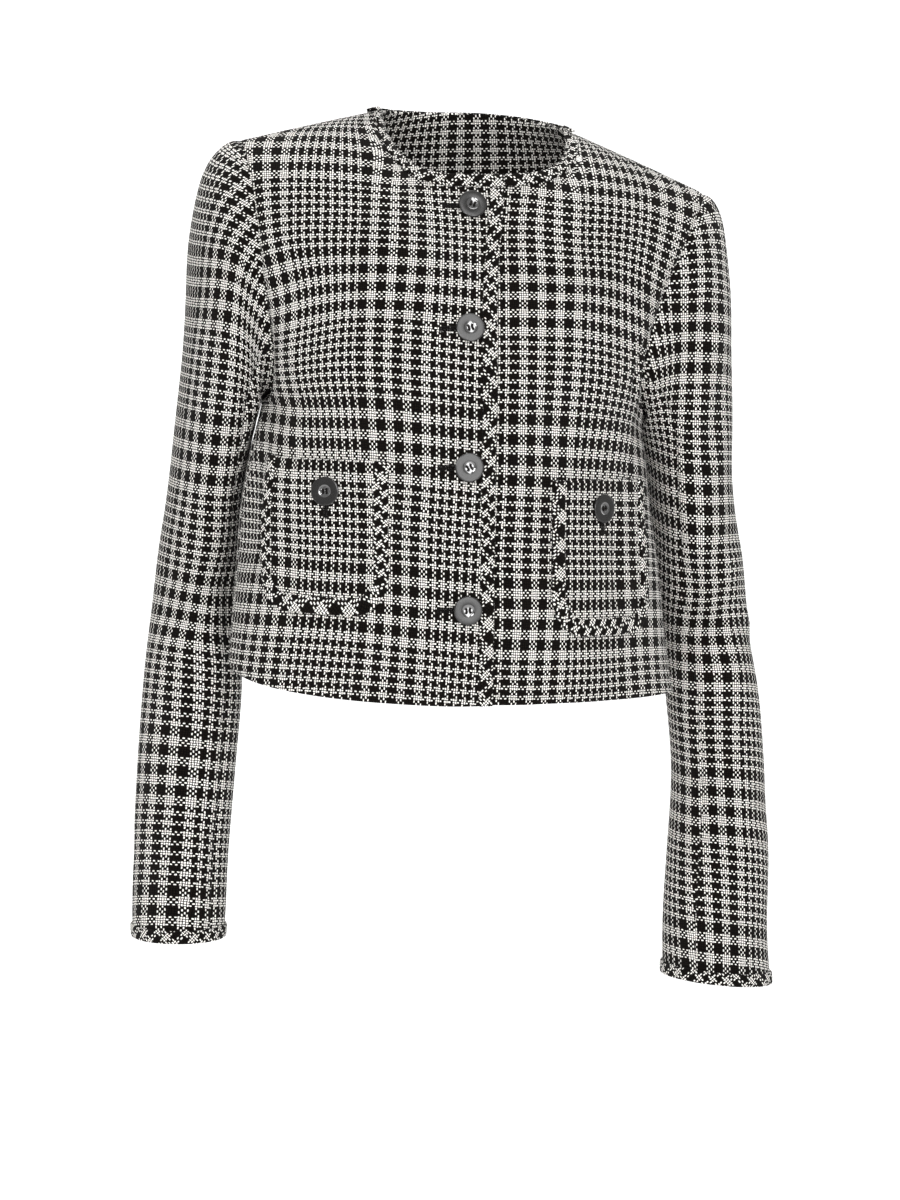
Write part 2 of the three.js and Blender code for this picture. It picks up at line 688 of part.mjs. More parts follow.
// Corners of each pocket as t and v, inner and outer, at the top and low down.
const POCKET_PLACES = Object.fromEntries(
  Object.entries(POCKETS).map(([side, edge]) => {
    const [top, low] = [frontPlace(edge.top, side), frontPlace(edge.low, side)];
    const outer = ([t, v]) => [walk(t, v, side, POCKET_WIDE), v];
    return [side, { inTop: top, outTop: outer(top), inLow: low, outLow: outer(low) }];
  }),
);

// A place on a pocket, in millimetres from its inner upper corner, outwards and down.
function pocketPlace(side, across, down) {
  const c = POCKET_PLACES[side];
  const [s, d] = [across / POCKET_WIDE, down / POCKET_HIGH];
  const t = lerp(lerp(c.inTop[0], c.outTop[0], s), lerp(c.inLow[0], c.outLow[0], s), d);
  const v = lerp(lerp(c.inTop[1], c.outTop[1], s), lerp(c.inLow[1], c.outLow[1], s), d);
  return [bodyPoint("front", t, v), bodyNormal("front", t, v)];
}

function pocketStations(side) {
  const downs = [0, 0.25, 0.5, 0.75, 1].map((s) => [s * (POCKET_HIGH - POCKET_CORNER), 0]);
  for (const angle of [30, 60, 90]) {
    const a = (angle * Math.PI) / 180;
    const inset = POCKET_CORNER * (1 - Math.cos(a));
    downs.push([POCKET_HIGH - POCKET_CORNER * (1 - Math.sin(a)), inset]);
  }
  const cols = 9;
  return downs.map(([down, inset]) =>
    Array.from({ length: cols + 1 }, (_, j) => {
      const across = lerp(inset, POCKET_WIDE - inset, j / cols);
      return pocketPlace(side, across, down);
    }),
  );
}

// Round the pocket from the top of its inner edge, under it, to the top of its outer edge.
function pocketBandStations(side) {
  const straight = POCKET_HIGH - POCKET_CORNER;
  const path = [];
  for (let i = 0; i < 8; i++) path.push([0, (straight * i) / 8, -1, 0]);
  for (let i = 0; i <= 6; i++) {
    const a = ((i / 6) * Math.PI) / 2;
    const [c, s] = [Math.cos(a), Math.sin(a)];
    path.push([POCKET_CORNER * (1 - c), straight + POCKET_CORNER * s, -c, s]);
  }
  for (let i = 1; i < 5; i++)
    path.push([lerp(POCKET_CORNER, POCKET_WIDE - POCKET_CORNER, i / 5), POCKET_HIGH, 0, 1]);
  for (let i = 6; i >= 0; i--) {
    const a = ((i / 6) * Math.PI) / 2;
    const [c, s] = [Math.cos(a), Math.sin(a)];
    path.push([POCKET_WIDE - POCKET_CORNER * (1 - c), straight + POCKET_CORNER * s, c, s]);
  }
  for (let i = 7; i >= 0; i--) path.push([POCKET_WIDE, (straight * i) / 8, 1, 0]);
  return path.map(([x, y, nx, ny]) =>
    [0.7, -0.5 * POCKET_BAND, -POCKET_BAND].map((far) => pocketPlace(side, x + nx * far, y + ny * far)),
  );
}

// ---- Buttons ----
const manifold = await Module();
manifold.setup();

function asSolid(geometry) {
  const bare = new THREE.BufferGeometry().setAttribute("position", geometry.getAttribute("position"));
  bare.setIndex(geometry.index);
  const merged = mergeVertices(bare, 1e-4);
  return new manifold.Manifold(
    new manifold.Mesh({
      numProp: 3,
      vertProperties: new Float32Array(merged.attributes.position.array),
      triVerts: new Uint32Array(merged.index.array),
    }),
  );
}

function asGeometry(solid) {
  const mesh = solid.getMesh();
  const geometry = new THREE.BufferGeometry();
  geometry.setAttribute("position", new THREE.BufferAttribute(new Float32Array(mesh.vertProperties), 3));
  geometry.setIndex(new THREE.BufferAttribute(new Uint32Array(mesh.triVerts), 1));
  geometry.computeVertexNormals();
  return geometry;
}

// A solid turned about z from [radius, height] pairs, closed by a point at each end.
function turned(section, sides, low, high) {
  const points = section.flatMap(([r, z]) =>
    Array.from({ length: sides }, (_, j) => {
      const a = (2 * Math.PI * j) / sides;
      return V(r * Math.cos(a), r * Math.sin(a), z);
    }),
  );
  const [foot, head] = [points.length, points.length + 1];
  points.push(V(0, 0, low), V(0, 0, high));
  const faces = [];
  for (let j = 0; j < sides; j++) {
    const k = (j + 1) % sides;
    faces.push(foot, k, j);
    for (let i = 0; i < section.length - 1; i++) {
      const [a, b] = [i * sides, (i + 1) * sides];
      faces.push(a + j, a + k, b + k, a + j, b + k, b + j);
    }
    const last = (section.length - 1) * sides;
    faces.push(last + j, last + k, head);
  }
  return closedGeometry(points, faces);
}

function buttonGeometry() {
  let solid = asSolid(turned(BUTTON_SECTION, BUTTON_SIDES, 0, BUTTON_SECTION.at(-1)[1]));
  for (const x of [-HOLE_AT, HOLE_AT])
    for (const y of [-HOLE_AT, HOLE_AT]) {
      const hole = turned([[HOLE_R, -1], [HOLE_R, 4]], 6, -1, 4);
      hole.translate(x, y, 0);
      solid = solid.subtract(asSolid(hole));
    }
  return asGeometry(solid);
}

// A button with its back at lift above a place [point, normal] on the cloth.
function buttonAt([point, normal], lift) {
  const geometry = buttonGeometry();
  const turn = new THREE.Quaternion().setFromUnitVectors(V(0, 0, 1), normal);
  geometry.applyQuaternion(turn);
  const at = point.clone().addScaledVector(normal, lift);
  geometry.translate(at.x, at.y, at.z);
  return geometry;
}

function centreFront({ off, z }) {
  let lo = 0;
  let hi = 1;
  for (let i = 0; i < 30; i++) {
    const mid = (lo + hi) / 2;
    if (bodyPoint("front", 0, mid).z < z) lo = mid;
    else hi = mid;
  }
  const t = tAt(lo, off);
  return [bodyPoint("front", t, lo), bodyNormal("front", t, lo)];
}

// ---- The jacket ----
const jacket = new THREE.Group();
jacket.name = "cropped_jacket";

function add(name, geometry, colour, roughness) {
  const material = new THREE.MeshStandardMaterial({ color: colour, roughness, metalness: 0 });
  const mesh = new THREE.Mesh(geometry, material);
  mesh.name = name;
  jacket.add(mesh);
}
const cloth = (name, geometry) => add(name, geometry, 0x6e6a63, 0.95);
const bias = (name, geometry) => add(name, geometry, 0x5f5b55, 0.95);
const plastic = (name, geometry) => add(name, geometry, 0x1e1d1b, 0.3);

cloth("front_right", wall(GRIDS.right));
cloth("front_left", wall(GRIDS.left));
cloth("back", wall(GRIDS.back));
const underFirst = ARM_STEPS - UNDER_COLUMNS / 2;
const underLast = ARM_STEPS + UNDER_COLUMNS / 2;
for (const side of ["right", "left"]) {
  cloth(`sleeve_upper_${side}`, sleevePanel(side, underLast, underFirst + 2 * ARM_STEPS));
  cloth(`sleeve_under_${side}`, sleevePanel(side, underFirst, underLast));
  bias(`band_cuff_${side}`, strip(cuffStations(side), LIFT, BAND_THICK, true));
  cloth(`pocket_${side}`, strip(pocketStations(side), LIFT, CLOTH));
  bias(`band_pocket_${side}`, strip(pocketBandStations(side), 2 * LIFT + CLOTH, BAND_THICK));
}
bias("band_neck", strip(neckStations(NECK_BAND), NECK_LIFT, BAND_THICK));
bias("band_front_edge", strip(edgeStations(), LIFT, BAND_THICK));
FRONT_BUTTONS.forEach((place, i) => {
  plastic(`button_front_${i + 1}`, buttonAt(centreFront(place), 2 * LIFT + BAND_THICK));
});
for (const side of ["right", "left"]) {
  const [t, v] = frontPlace(POCKET_BUTTONS[side], side);
  const place = [bodyPoint("front", t, v), bodyNormal("front", t, v)];
  plastic(`button_pocket_${side}`, buttonAt(place, 2 * LIFT + CLOTH));
}

export default jacket;
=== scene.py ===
"""A worn cropped jacket in woven tweed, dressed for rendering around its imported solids."""

import functools
import math

import bpy
import numpy as np
from mathutils import Matrix, Vector


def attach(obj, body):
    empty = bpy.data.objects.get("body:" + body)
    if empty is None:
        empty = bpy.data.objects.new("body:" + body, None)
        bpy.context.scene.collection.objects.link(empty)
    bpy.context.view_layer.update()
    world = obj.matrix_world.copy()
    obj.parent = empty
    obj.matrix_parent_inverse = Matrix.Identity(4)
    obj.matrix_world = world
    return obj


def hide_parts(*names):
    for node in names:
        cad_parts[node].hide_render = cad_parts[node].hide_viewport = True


bl_info = {
    "name": "Cropped tweed jacket",
    "version": (1, 0, 0),
    "blender": (4, 5, 0),
    "location": "View3D > Sidebar > Jacket",
    "description": "Lays woven cloth, bias bands and buttons over the jacket's solids",
    "category": "Object",
}

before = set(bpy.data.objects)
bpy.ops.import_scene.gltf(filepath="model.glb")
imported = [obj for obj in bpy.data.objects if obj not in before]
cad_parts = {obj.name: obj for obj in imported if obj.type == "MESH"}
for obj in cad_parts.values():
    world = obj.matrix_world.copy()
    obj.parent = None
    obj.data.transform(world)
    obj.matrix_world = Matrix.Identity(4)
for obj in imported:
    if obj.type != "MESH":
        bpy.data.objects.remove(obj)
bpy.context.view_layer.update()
MM = 0.001


# ---- Tables: millimetres, front to -Y, right is the wearer's right (-X) ----
def table(columns, *rows):
    """Named columns from rows of numbers."""
    values = np.array(rows, float)
    return {name: values[:, i] for i, name in enumerate(columns)}


# Rings of the body, hem to underarm: z at the right side, centre and left side; x at the right side,
# centre front, centre back and left side; y at both sides, front and back; squareness of each quarter.
BODY = table(
    ["zR", "zC", "zL", "xR", "xF", "xB", "xL", "yR", "yL", "yF", "yB", "nFR", "nFL", "nBR", "nBL"],
    [-420, -447, -448, -193.5, -24.5, -15, 157, -33, -22, -121, 116, 2.1, 1.85, 1.65, 1.9],
    [-394, -411, -415, -191, -24.3, -15, 152.5, -33, -20, -124, 116, 2.1, 1.82, 1.68, 1.9],
    [-345, -351, -354, -186, -24, -15, 146.5, -31, -16, -127, 117, 2.1, 1.8, 1.75, 1.95],
    [-301, -305, -308, -182, -24, -15, 140, -32, -14, -128.5, 118.5, 2.1, 1.8, 1.9, 2],
    [-262, -266, -272, -174.5, -23.5, -14.5, 137.5, -27, -9, -128, 120, 2.1, 1.85, 2, 2],
    [-224, -230, -242, -161.5, -22, -14, 136, 2, 2, -125, 120, 2.1, 1.95, 2, 2],
)
TOP = {
    "right": {
        "neck": (-70, 6, 3),
        "tip": (-177, 8, -21),
        "front": 55,
        "back": 52,
        "in_front": 1,
        "in_back": 8,
    },
    "left": {
        "neck": (76, 6, -11),
        "tip": (187.5, 8, -61),
        "front": 54,
        "back": 50,
        "in_front": 18,
        "in_back": 14,
    },
}
NECK_MIDDLE = {"front": (-5, -64, -49), "back": (2, 54, 1)}
NECK_SHAPE = {
    "front": {"ease": 1.5, "square": 0.5, "drop": 0.9},
    "back": {"ease": 1, "square": 1, "drop": 1.6},
}
CENTRE_BULGE = {"front": (-4, -5.5), "back": (-1, 11)}
SHOULDER_ROUND = {"front": (-16, 8), "back": (17, 8)}
TOP_SOFT = 0.3  # how far along the top edge its corner at the neck is evened out
SOFT_WEIGHTS = (1, 4, 8, 11, 12, 11, 8, 4, 1)
NECK_SHARE = 0.5  # the part of t that the neckline takes; the shoulder takes the rest
V_ARM = 0.5  # v at the underarm
MIDDLE_X = -15  # the body leans out from here

SLEEVE_COLUMNS = ["ox", "oz", "ix", "iz", "oy", "iy", "deep", "arm"]
SLEEVE = {
    "right": table(
        SLEEVE_COLUMNS,
        [-177, -21, -160, -224, 8, 2, 54, 1],
        [-184, -22.5, -161.5, -227, 9, 7, 55, 0.8],
        [-191, -27, -163, -231, 11, 11, 56, 0.6],
        [-200, -38, -164, -236, 14, 15, 57, 0.4],
        [-208, -58, -165, -243, 17, 19, 58, 0.2],
        [-215, -96, -167, -253, 21, 26, 59, 0],
        [-217.5, -146, -169, -268, 27, 32, 59, 0],
        [-221, -210, -171, -286, 36, 40, 57, 0],
        [-227, -268, -172.5, -314, 46, 50, 54, 0],
        [-236, -331, -173.5, -354, 54, 58, 51, 0],
        [-242, -386, -173, -400, 58, 61, 49, 0],
        [-249, -445, -171.5, -450, 56, 58, 48, 0],
        [-256, -507, -179, -511, 43, 44, 46.5, 0],
        [-261, -571, -187, -574, 26, 26, 45, 0],
        [-263, -613, -191, -615, 14, 14, 43.5, 0],
        [-263, -636, -193, -636, 8, 8, 42.5, 0],
    ),
    "left": table(
        SLEEVE_COLUMNS,
        [187.5, -61, 136, -242, 8, 2, 52, 1],
        [194, -65, 138, -246, 9, 7, 53, 0.8],
        [199.5, -72, 139.5, -250, 11, 11, 54, 0.6],
        [204.5, -83, 141, -255, 14, 15, 55, 0.4],
        [208, -102, 143, -262, 17, 19, 56, 0.2],
        [211, -134, 145, -271, 21, 23, 57, 0],
        [213, -185, 148, -285, 26, 28, 58, 0],
        [216, -240, 151, -306, 33, 34, 56, 0],
        [219, -298, 156, -332, 41, 42, 53, 0],
        [230, -353, 158.5, -371, 48, 49, 50, 0],
        [237, -410, 165.5, -418, 52, 53, 49, 0],
        [244, -462, 171, -463, 49, 50, 48, 0],
        [247, -522, 172.5, -519, 38, 38, 46.5, 0],
        [246, -585, 166, -583, 24, 24, 45, 0],
        [244, -640, 161, -639, 14, 14, 43.5, 0],
        [245, -687, 159, -678, 8, 8, 42.5, 0],
    ),
}
LAST_RING = 15

# Folds: a soft trough (high under 0) or ridge between two points, with the reach of its sides.
FOLD_COLUMNS = ["x1", "y1", "z1", "x2", "y2", "z2", "wide", "high"]
BODY_FOLDS = table(
    FOLD_COLUMNS,
    [-170, -50, -150, -178, -56, -330, 12, -3.5],
    [-148, -78, -120, -156, -84, -250, 16, 3],
    [150, -50, -120, 134, -46, -238, 12, -4],
    [134, -44, -238, 110, -78, -286, 14, -3],
    [128, -56, -236, 119, -70, -312, 14, 2.2],
    [108, -84, -312, 111, -80, -405, 20, -2.6],
    [-120, -100, -390, -124, -96, -440, 16, 2.5],
    [66, -104, -400, 70, -100, -445, 18, 2.5],
    [-146, 72, -150, -112, 104, -250, 16, -4],
    [128, 70, -165, 96, 102, -262, 16, -4],
    [-86, 108, -290, -92, 108, -442, 20, 4],
    [-30, 118, -330, -34, 118, -444, 18, -3],
    [44, 112, -300, 50, 112, -446, 20, 4],
)
SLEEVE_FOLDS = {
    "right": table(
        FOLD_COLUMNS,
        [-236, 20, -345, -186, 10, -372, 15, -3.5],
        [-238, 34, -380, -196, 10, -415, 14, -3],
        [-214, 4, -358, -188, 8, -398, 13, 2.5],
        [-205, -34, -170, -190, -22, -300, 15, -3],
        [-236, 78, -300, -190, 96, -350, 15, -4],
        [-244, 88, -380, -196, 102, -410, 15, -4],
        [-250, 20, -520, -206, 0, -556, 15, -2.5],
        [-258, 40, -575, -210, 60, -600, 15, -2.5],
    ),
    "left": table(
        FOLD_COLUMNS,
        [222, 10, -324, 176, 6, -372, 15, -4.5],
        [232, 20, -372, 184, 8, -412, 14, -4],
        [224, 8, -348, 176, 8, -394, 13, 3],
        [204, -34, -190, 176, -26, -300, 15, -3],
        [226, 80, -310, 172, 92, -360, 15, -4],
        [238, 84, -390, 186, 98, -420, 15, -4],
        [246, 14, -540, 196, -4, -580, 15, -2.5],
        [244, 40, -610, 196, 52, -632, 15, -2.5],
    ),
}
# Finer creases, laid over the folds above.
BODY_CREASES = table(
    FOLD_COLUMNS,
    [-166, -62, -196, -150, -92, -236, 6, -1.2],
    [-160, -60, -214, -140, -100, -268, 7, 1.0],
    [139, -62, -226, 112, -92, -262, 5, -1.4],
    [134, -66, -240, 104, -98, -292, 6, 1.2],
    [-56, -116, -396, -60, -114, -440, 9, 1.0],
    [10, -122, -380, 16, -118, -444, 10, -1.0],
    [-70, 100, -60, 60, 102, -66, 12, 1.2],
    [-60, 118, -200, 30, 122, -222, 14, -1.2],
    [-157, -52, -150, -160, -25, -222, 5, -3.2],
    [-147, -66, -150, -148, -64, -230, 6, 1.8],
    [133, -54, -156, 129, -38, -229, 6, -3.6],
    [131, -54, -172, 118, -60, -216, 4, -4.2],
    [-160, -52, -168, -159, -36, -212, 4, -3.0],
    [-164, -18, -208, -167, -20, -272, 9, 3.9],
    [120, -68, -178, 112, -80, -250, 7, 1.6],
    [96, -90, -284, 99, -86, -376, 5, -1.8],
    [104, -82, -290, 107, -78, -380, 5, 1.2],
    [-152, -88, -300, -158, -86, -400, 6, -1.4],
)
SLEEVE_CREASES = {
    "right": table(
        FOLD_COLUMNS,
        [-232, 8, -352, -204, 4, -362, 5, 1.3],
        [-236, 14, -368, -200, 4, -392, 5, -1.3],
        [-206, -24, -240, -184, -14, -268, 6, -1.2],
        [-204, -32, -150, -182, -28, -180, 7, 1.2],
        [-246, 12, -468, -212, 8, -484, 7, -1.0],
        [-256, 0, -548, -214, -12, -570, 7, 1.0],
        [-260, -10, -606, -228, -26, -616, 7, -0.9],
        [-166, -18, -208, -173, -9, -268, 8, 5.6],
        [-240, 40, -352, -219, 14, -378, 5, -2.0],
        [-226, 20, -350, -208, 6, -362, 5, 1.4],
        [-206, 4, -350, -204, 6, -440, 6, -1.6],
        [-190, -6, -60, -184, -22, -112, 5, -1.4],
    ),
    "left": table(
        FOLD_COLUMNS,
        [226, 0, -334, 190, -2, -362, 5, 1.6],
        [232, 8, -358, 188, 0, -386, 5, -1.8],
        [236, 12, -384, 196, 4, -404, 6, 1.2],
        [206, -30, -226, 168, -12, -262, 6, -1.3],
        [208, -28, -150, 176, -34, -196, 7, 1.2],
        [244, 8, -468, 200, 4, -492, 7, -1.1],
        [244, -10, -566, 196, -22, -596, 7, 1.0],
        [242, -14, -640, 186, -26, -652, 7, -0.9],
        [181, 6, -366, 191, 9, -410, 4, -3.0],
        [189, 3, -362, 200, 6, -412, 5, 2.2],
        [200, 4, -376, 230, 34, -420, 6, -4.0],
        [212, 8, -372, 236, 34, -408, 6, 2.8],
        [160, 22, -400, 188, 8, -401, 4, -2.4],
        [162, 20, -410, 192, 8, -411, 5, 1.8],
        [176, 6, -320, 182, 6, -366, 6, -1.6],
    ),
}
POCKETS = {
    "right": {"top": (-83, -263), "low": (-83, -378)},
    "left": {"top": (43, -279), "low": (43, -396)},
}
# off is how far a button sits to the left of the centre front.
FRONT_BUTTONS = table(["off", "z"], [-3.5, -72.4], [0, -164], [0, -267], [0, -374])
POCKET_BUTTONS = {"right": (-127, -285), "left": (84, -301)}
SIDES = ("right", "left")
STRAIGHT_DOWN = np.array([0.0, 0.0, -1.0])
FOLD_END = 0.35  # the share of its height that a fold has at its ends
FADE_T, FADE_V = 0.12, 0.08  # creases fade out this near to the side seams and the top, in t and v
FOLD_FROM, CREASE_FROM, FADE_CUFF = 5, 3, 0.6  # the same below the armhole and at the cuff, in rings
SLOPE_STEP = 1e-3  # a small step along a surface, to find its slope
HALVINGS = 26  # how often a search halves its range
PLACE_STEPS, PLACE_SHARE = 40, 0.6  # how often a search for a place steps, and its share of each step


# ---- Small helpers ----
def linear(colour):
    """An sRGB hex colour as linear red, green and blue."""
    parts = [int(colour[i : i + 2], 16) / 255 for i in (1, 3, 5)]
    return tuple(c / 12.92 if c <= 0.04045 else ((c + 0.055) / 1.055) ** 2.4 for c in parts)


def lerp(a, b, s):
    """The share s of the way from a to b."""
    return a + (b - a) * s


def smooth(s):
    """0 below 0 and 1 above 1, with a soft rise between."""
    c = np.clip(s, 0, 1)
    return c * c * (3 - 2 * c)


def unit(v):
    return v / np.maximum(np.linalg.norm(v, axis=-1, keepdims=True), 1e-12)


def dot(a, b):
    return (a * b).sum(-1, keepdims=True)


def along(values, w):
    """A smooth curve through a column, at places w (0 is the first row)."""
    last = len(values) - 1
    k = np.clip(np.floor(w).astype(int), 0, last - 1)
    f = w - k
    p1, p2 = values[k], values[k + 1]
    p0 = np.where(k > 0, values[np.maximum(k - 1, 0)], 2 * p1 - p2)
    p3 = np.where(k + 2 <= last, values[np.minimum(k + 2, last)], 2 * p2 - p1)
    a = 2 * p1 - 2 * p2 + (p2 - p0) / 2 + (p3 - p1) / 2
    b = 3 * p2 - 3 * p1 - (p2 - p0) - (p3 - p1) / 2
    return ((a * f + b) * f + (p2 - p0) / 2) * f + p1


def row_at(columns, w):
    """Every column of a table at places w."""
    w = np.asarray(w, float)
    return {name: along(values, w) for name, values in columns.items()}


def fold_height(folds, p):
    """How far a fold table moves the cloth outwards at each point."""
    height = np.zeros(p.shape[:-1])
    for i in range(len(folds["x1"])):
        f = {name: values[i] for name, values in folds.items()}
        a = np.array([f["x1"], f["y1"], f["z1"]])
        line = np.array([f["x2"], f["y2"], f["z2"]]) - a
        s = np.clip(((p - a) @ line) / (line @ line), 0, 1)
        far = np.linalg.norm(p - a - s[..., None] * line, axis=-1) / f["wide"]
        height += f["high"] * np.exp(-far * far) * lerp(FOLD_END, 1, np.sin(np.pi * s))
    return height


def slack(p):
    """The slight unevenness of hanging cloth: three crossing waves, each under half a millimetre high."""
    x, y, z = p[..., 0], p[..., 1], p[..., 2]
    return (
        0.35 * np.sin(x / 17 + z / 41 + 1.3)
        + 0.30 * np.sin(z / 23 - x / 53 + y / 37 + 0.4)
        + 0.22 * np.sin(x / 9.5 - z / 16 + y / 21 + 2.1)
    )


# ---- The body's surface: t is -1 at the right side seam, 1 at the left; v is 0 at the hem, 1 on top ----
def ring_point(ring, face, t):
    """A point on a ring of the body: a quarter of an oval, or a squarer curve, on each side of the centre."""
    left = t > 0
    part = "F" if face == "front" else "B"
    q = np.minimum(np.abs(t), 1)
    n = np.where(left, ring[f"n{part}L"], ring[f"n{part}R"])
    c, s = np.maximum(np.cos(q * np.pi / 2), 0), np.sin(q * np.pi / 2)
    reach = (c**n + s**n) ** (-1 / n)
    side_x = np.where(left, ring["xL"], ring["xR"])
    side_y = np.where(left, ring["yL"], ring["yR"])
    side_z = np.where(left, ring["zL"], ring["zR"])
    return np.stack(
        [
            lerp(ring[f"x{part}"], side_x, reach * s),
            lerp(side_y, ring[f"y{part}"], reach * c),
            lerp(ring["zC"], side_z, q**1.5),
        ],
        -1,
    )


def side_value(t, key):
    """A value from TOP for the side that each t is on."""
    left = (t > 0)[..., None] if isinstance(TOP["left"][key], tuple) else t > 0
    return np.where(left, np.array(TOP["left"][key], float), np.array(TOP["right"][key], float))


def top_point(face, t):
    """The neckline and shoulder seam, from the centre to the shoulder tip."""
    q = np.minimum(np.abs(t), 1)
    neck, tip = side_value(t, "neck"), side_value(t, "tip")
    shoulder = lerp(neck, tip, ((q - NECK_SHARE) / (1 - NECK_SHARE))[..., None])
    shape = NECK_SHAPE[face]
    angle = (np.minimum(q / NECK_SHARE, 1) ** shape["ease"]) * np.pi / 2
    middle = NECK_MIDDLE[face]
    fall = np.maximum(np.cos(angle), 0)
    line = np.stack(
        [
            lerp(middle[0], neck[..., 0], np.sin(angle) ** shape["square"]),
            lerp(neck[..., 1], middle[1], fall),
            lerp(neck[..., 2], middle[2], fall ** shape["drop"]),
        ],
        -1,
    )
    return np.where((q >= NECK_SHARE)[..., None], shoulder, line)


def armhole_point(face, t, r):
    """The armhole, from underarm (r = 0) to shoulder tip (r = 1)."""
    end = np.where(t > 0, 1.0, -1.0)
    underarm = {name: values[-1] for name, values in BODY.items()}
    low, tip = ring_point(underarm, face, end), side_value(t, "tip")
    out = np.sin(np.pi * r)
    p = lerp(low, tip, ((1 - np.cos(np.pi * r)) / 2)[..., None])
    p[..., 1] += (-side_value(t, "front") if face == "front" else side_value(t, "back")) * out
    p[..., 0] -= end * side_value(t, "in_front" if face == "front" else "in_back") * out * out
    return p


def soft_top(face, t):
    """The top edge with its corner at the neck evened out."""
    reach = TOP_SOFT * np.minimum(1, (1 - np.abs(t)) / TOP_SOFT)
    half = len(SOFT_WEIGHTS) // 2
    points = [w * top_point(face, t + (i - half) * reach / half) for i, w in enumerate(SOFT_WEIGHTS)]
    return sum(points) / sum(SOFT_WEIGHTS)


def yoke_draft(face, t, r):
    """The cloth above the underarm (r = 0) up to the top edge (r = 1), before it is blended into the body."""
    end = np.where(t > 0, 1.0, -1.0)
    low = {name: values[-1] for name, values in BODY.items()}
    rr = r[..., None]
    soft = soft_top(face, t)
    p = lerp(ring_point(low, face, t), soft, rr)
    p += (top_point(face, t) - soft) * rr**3
    near_arm = smooth(np.abs(t))
    chord = lerp(ring_point(low, face, end), top_point(face, end), rr)
    p += (armhole_point(face, end, r) - chord) * near_arm[..., None]
    bulge = 16 * r * r * (1 - r) * (1 - r) * (1 - near_arm)
    p[..., 0] += CENTRE_BULGE[face][0] * bulge
    p[..., 1] += CENTRE_BULGE[face][1] * bulge
    rounding = 6.75 * r * r * (1 - r) * smooth(np.abs(t) / 0.5) * smooth((1 - np.abs(t)) / 0.5)
    p[..., 1] += SHOULDER_ROUND[face][0] * rounding
    p[..., 2] += SHOULDER_ROUND[face][1] * rounding
    return p


def yoke_point(face, t, r):
    """The cloth above the underarm, leaving the rings below it without a crease."""
    zero = np.zeros_like(r)
    start = yoke_draft(face, t, zero)
    speed = (yoke_draft(face, t, zero + SLOPE_STEP) - start) / SLOPE_STEP
    below = ring_point(row_at(BODY, zero + len(BODY["zC"]) - 1 - SLOPE_STEP), face, t)
    rise = unit(start - below) * np.linalg.norm(speed, axis=-1, keepdims=True)
    share = r * (1 - r) * (1 - r) * (1 - smooth(np.abs(t)))
    return yoke_draft(face, t, r) + (rise - speed) * share[..., None]


def body_point(face, t, v, creased=True):
    """A point of a body panel's outer face, with its folds and, if creased, its finer creases."""
    t, v = np.broadcast_arrays(np.asarray(t, float), np.asarray(v, float))
    w = np.minimum(v / V_ARM, 1) * (len(BODY["zC"]) - 1)
    low = ring_point(row_at(BODY, w), face, t)
    high = yoke_point(face, t, np.clip((v - V_ARM) / (1 - V_ARM), 0, 1))
    p = np.where((v > V_ARM)[..., None], high, low)
    out = unit(np.stack([p[..., 0] - MIDDLE_X, p[..., 1], np.zeros_like(t)], -1))
    height = fold_height(BODY_FOLDS, p)
    if creased:
        edge = smooth((1 - np.abs(t)) / FADE_T) * smooth((1 - v) / FADE_V)
        height = height + (fold_height(BODY_CREASES, p) + slack(p)) * edge
    return p + out * height[..., None]


def body_normal(face, t, v, creased=True):
    """The outward direction at a point of a body panel."""
    t, v = np.broadcast_arrays(np.asarray(t, float), np.asarray(v, float))
    low = np.where(v > SLOPE_STEP, v - SLOPE_STEP, v)
    near = body_point(face, np.maximum(t - SLOPE_STEP, -1), v, creased)
    far = body_point(face, np.minimum(t + SLOPE_STEP, 1), v, creased)
    up = body_point(face, t, low + SLOPE_STEP, creased) - body_point(face, t, low, creased)
    n = unit(np.cross(far - near, up))
    return n if face == "front" else -n


def t_at(v, dx):
    """The t of the points dx to the left of the centre front, in rows v."""
    v = np.asarray(v, float)
    x = body_point("front", np.zeros_like(v), v, False)[..., 0] + dx
    lo, hi = np.full_like(v, -0.6), np.full_like(v, 0.6)
    for _ in range(HALVINGS):
        mid = (lo + hi) / 2
        less = body_point("front", mid, v, False)[..., 0] < x
        lo, hi = np.where(less, mid, lo), np.where(less, hi, mid)
    return (lo + hi) / 2


# ---- The sleeve's surface: a is 0 to 1 round from the outside by the front, w is 0 to 15 down it ----
def end_of(side):
    """The t of a side seam."""
    return 1.0 if side == "left" else -1.0


def beside_armhole(a):
    """Whether each place round a sleeve meets the front, and the v where it meets the body."""
    a = a % 1
    in_front = a <= 0.5
    return in_front, lerp(1, V_ARM, np.where(in_front, a, 1 - a) * 2)


def at_armhole(value, side, a):
    """What value (body_point or body_normal) gives on the armhole, beside places round the sleeve."""
    in_front, v = beside_armhole(a)
    t = np.full_like(a, end_of(side))
    return np.where(in_front[..., None], value("front", t, v), value("back", t, v))


def sleeve_ring(row, a):
    """A point on the oval of a sleeve's ring."""
    c, s = np.cos(2 * np.pi * a), np.sin(2 * np.pi * a)
    h = (1 + c) / 2
    return np.stack(
        [
            lerp(row["ix"], row["ox"], h),
            lerp(row["iy"], row["oy"], h) - row["deep"] * s,
            lerp(row["iz"], row["oz"], h),
        ],
        -1,
    )


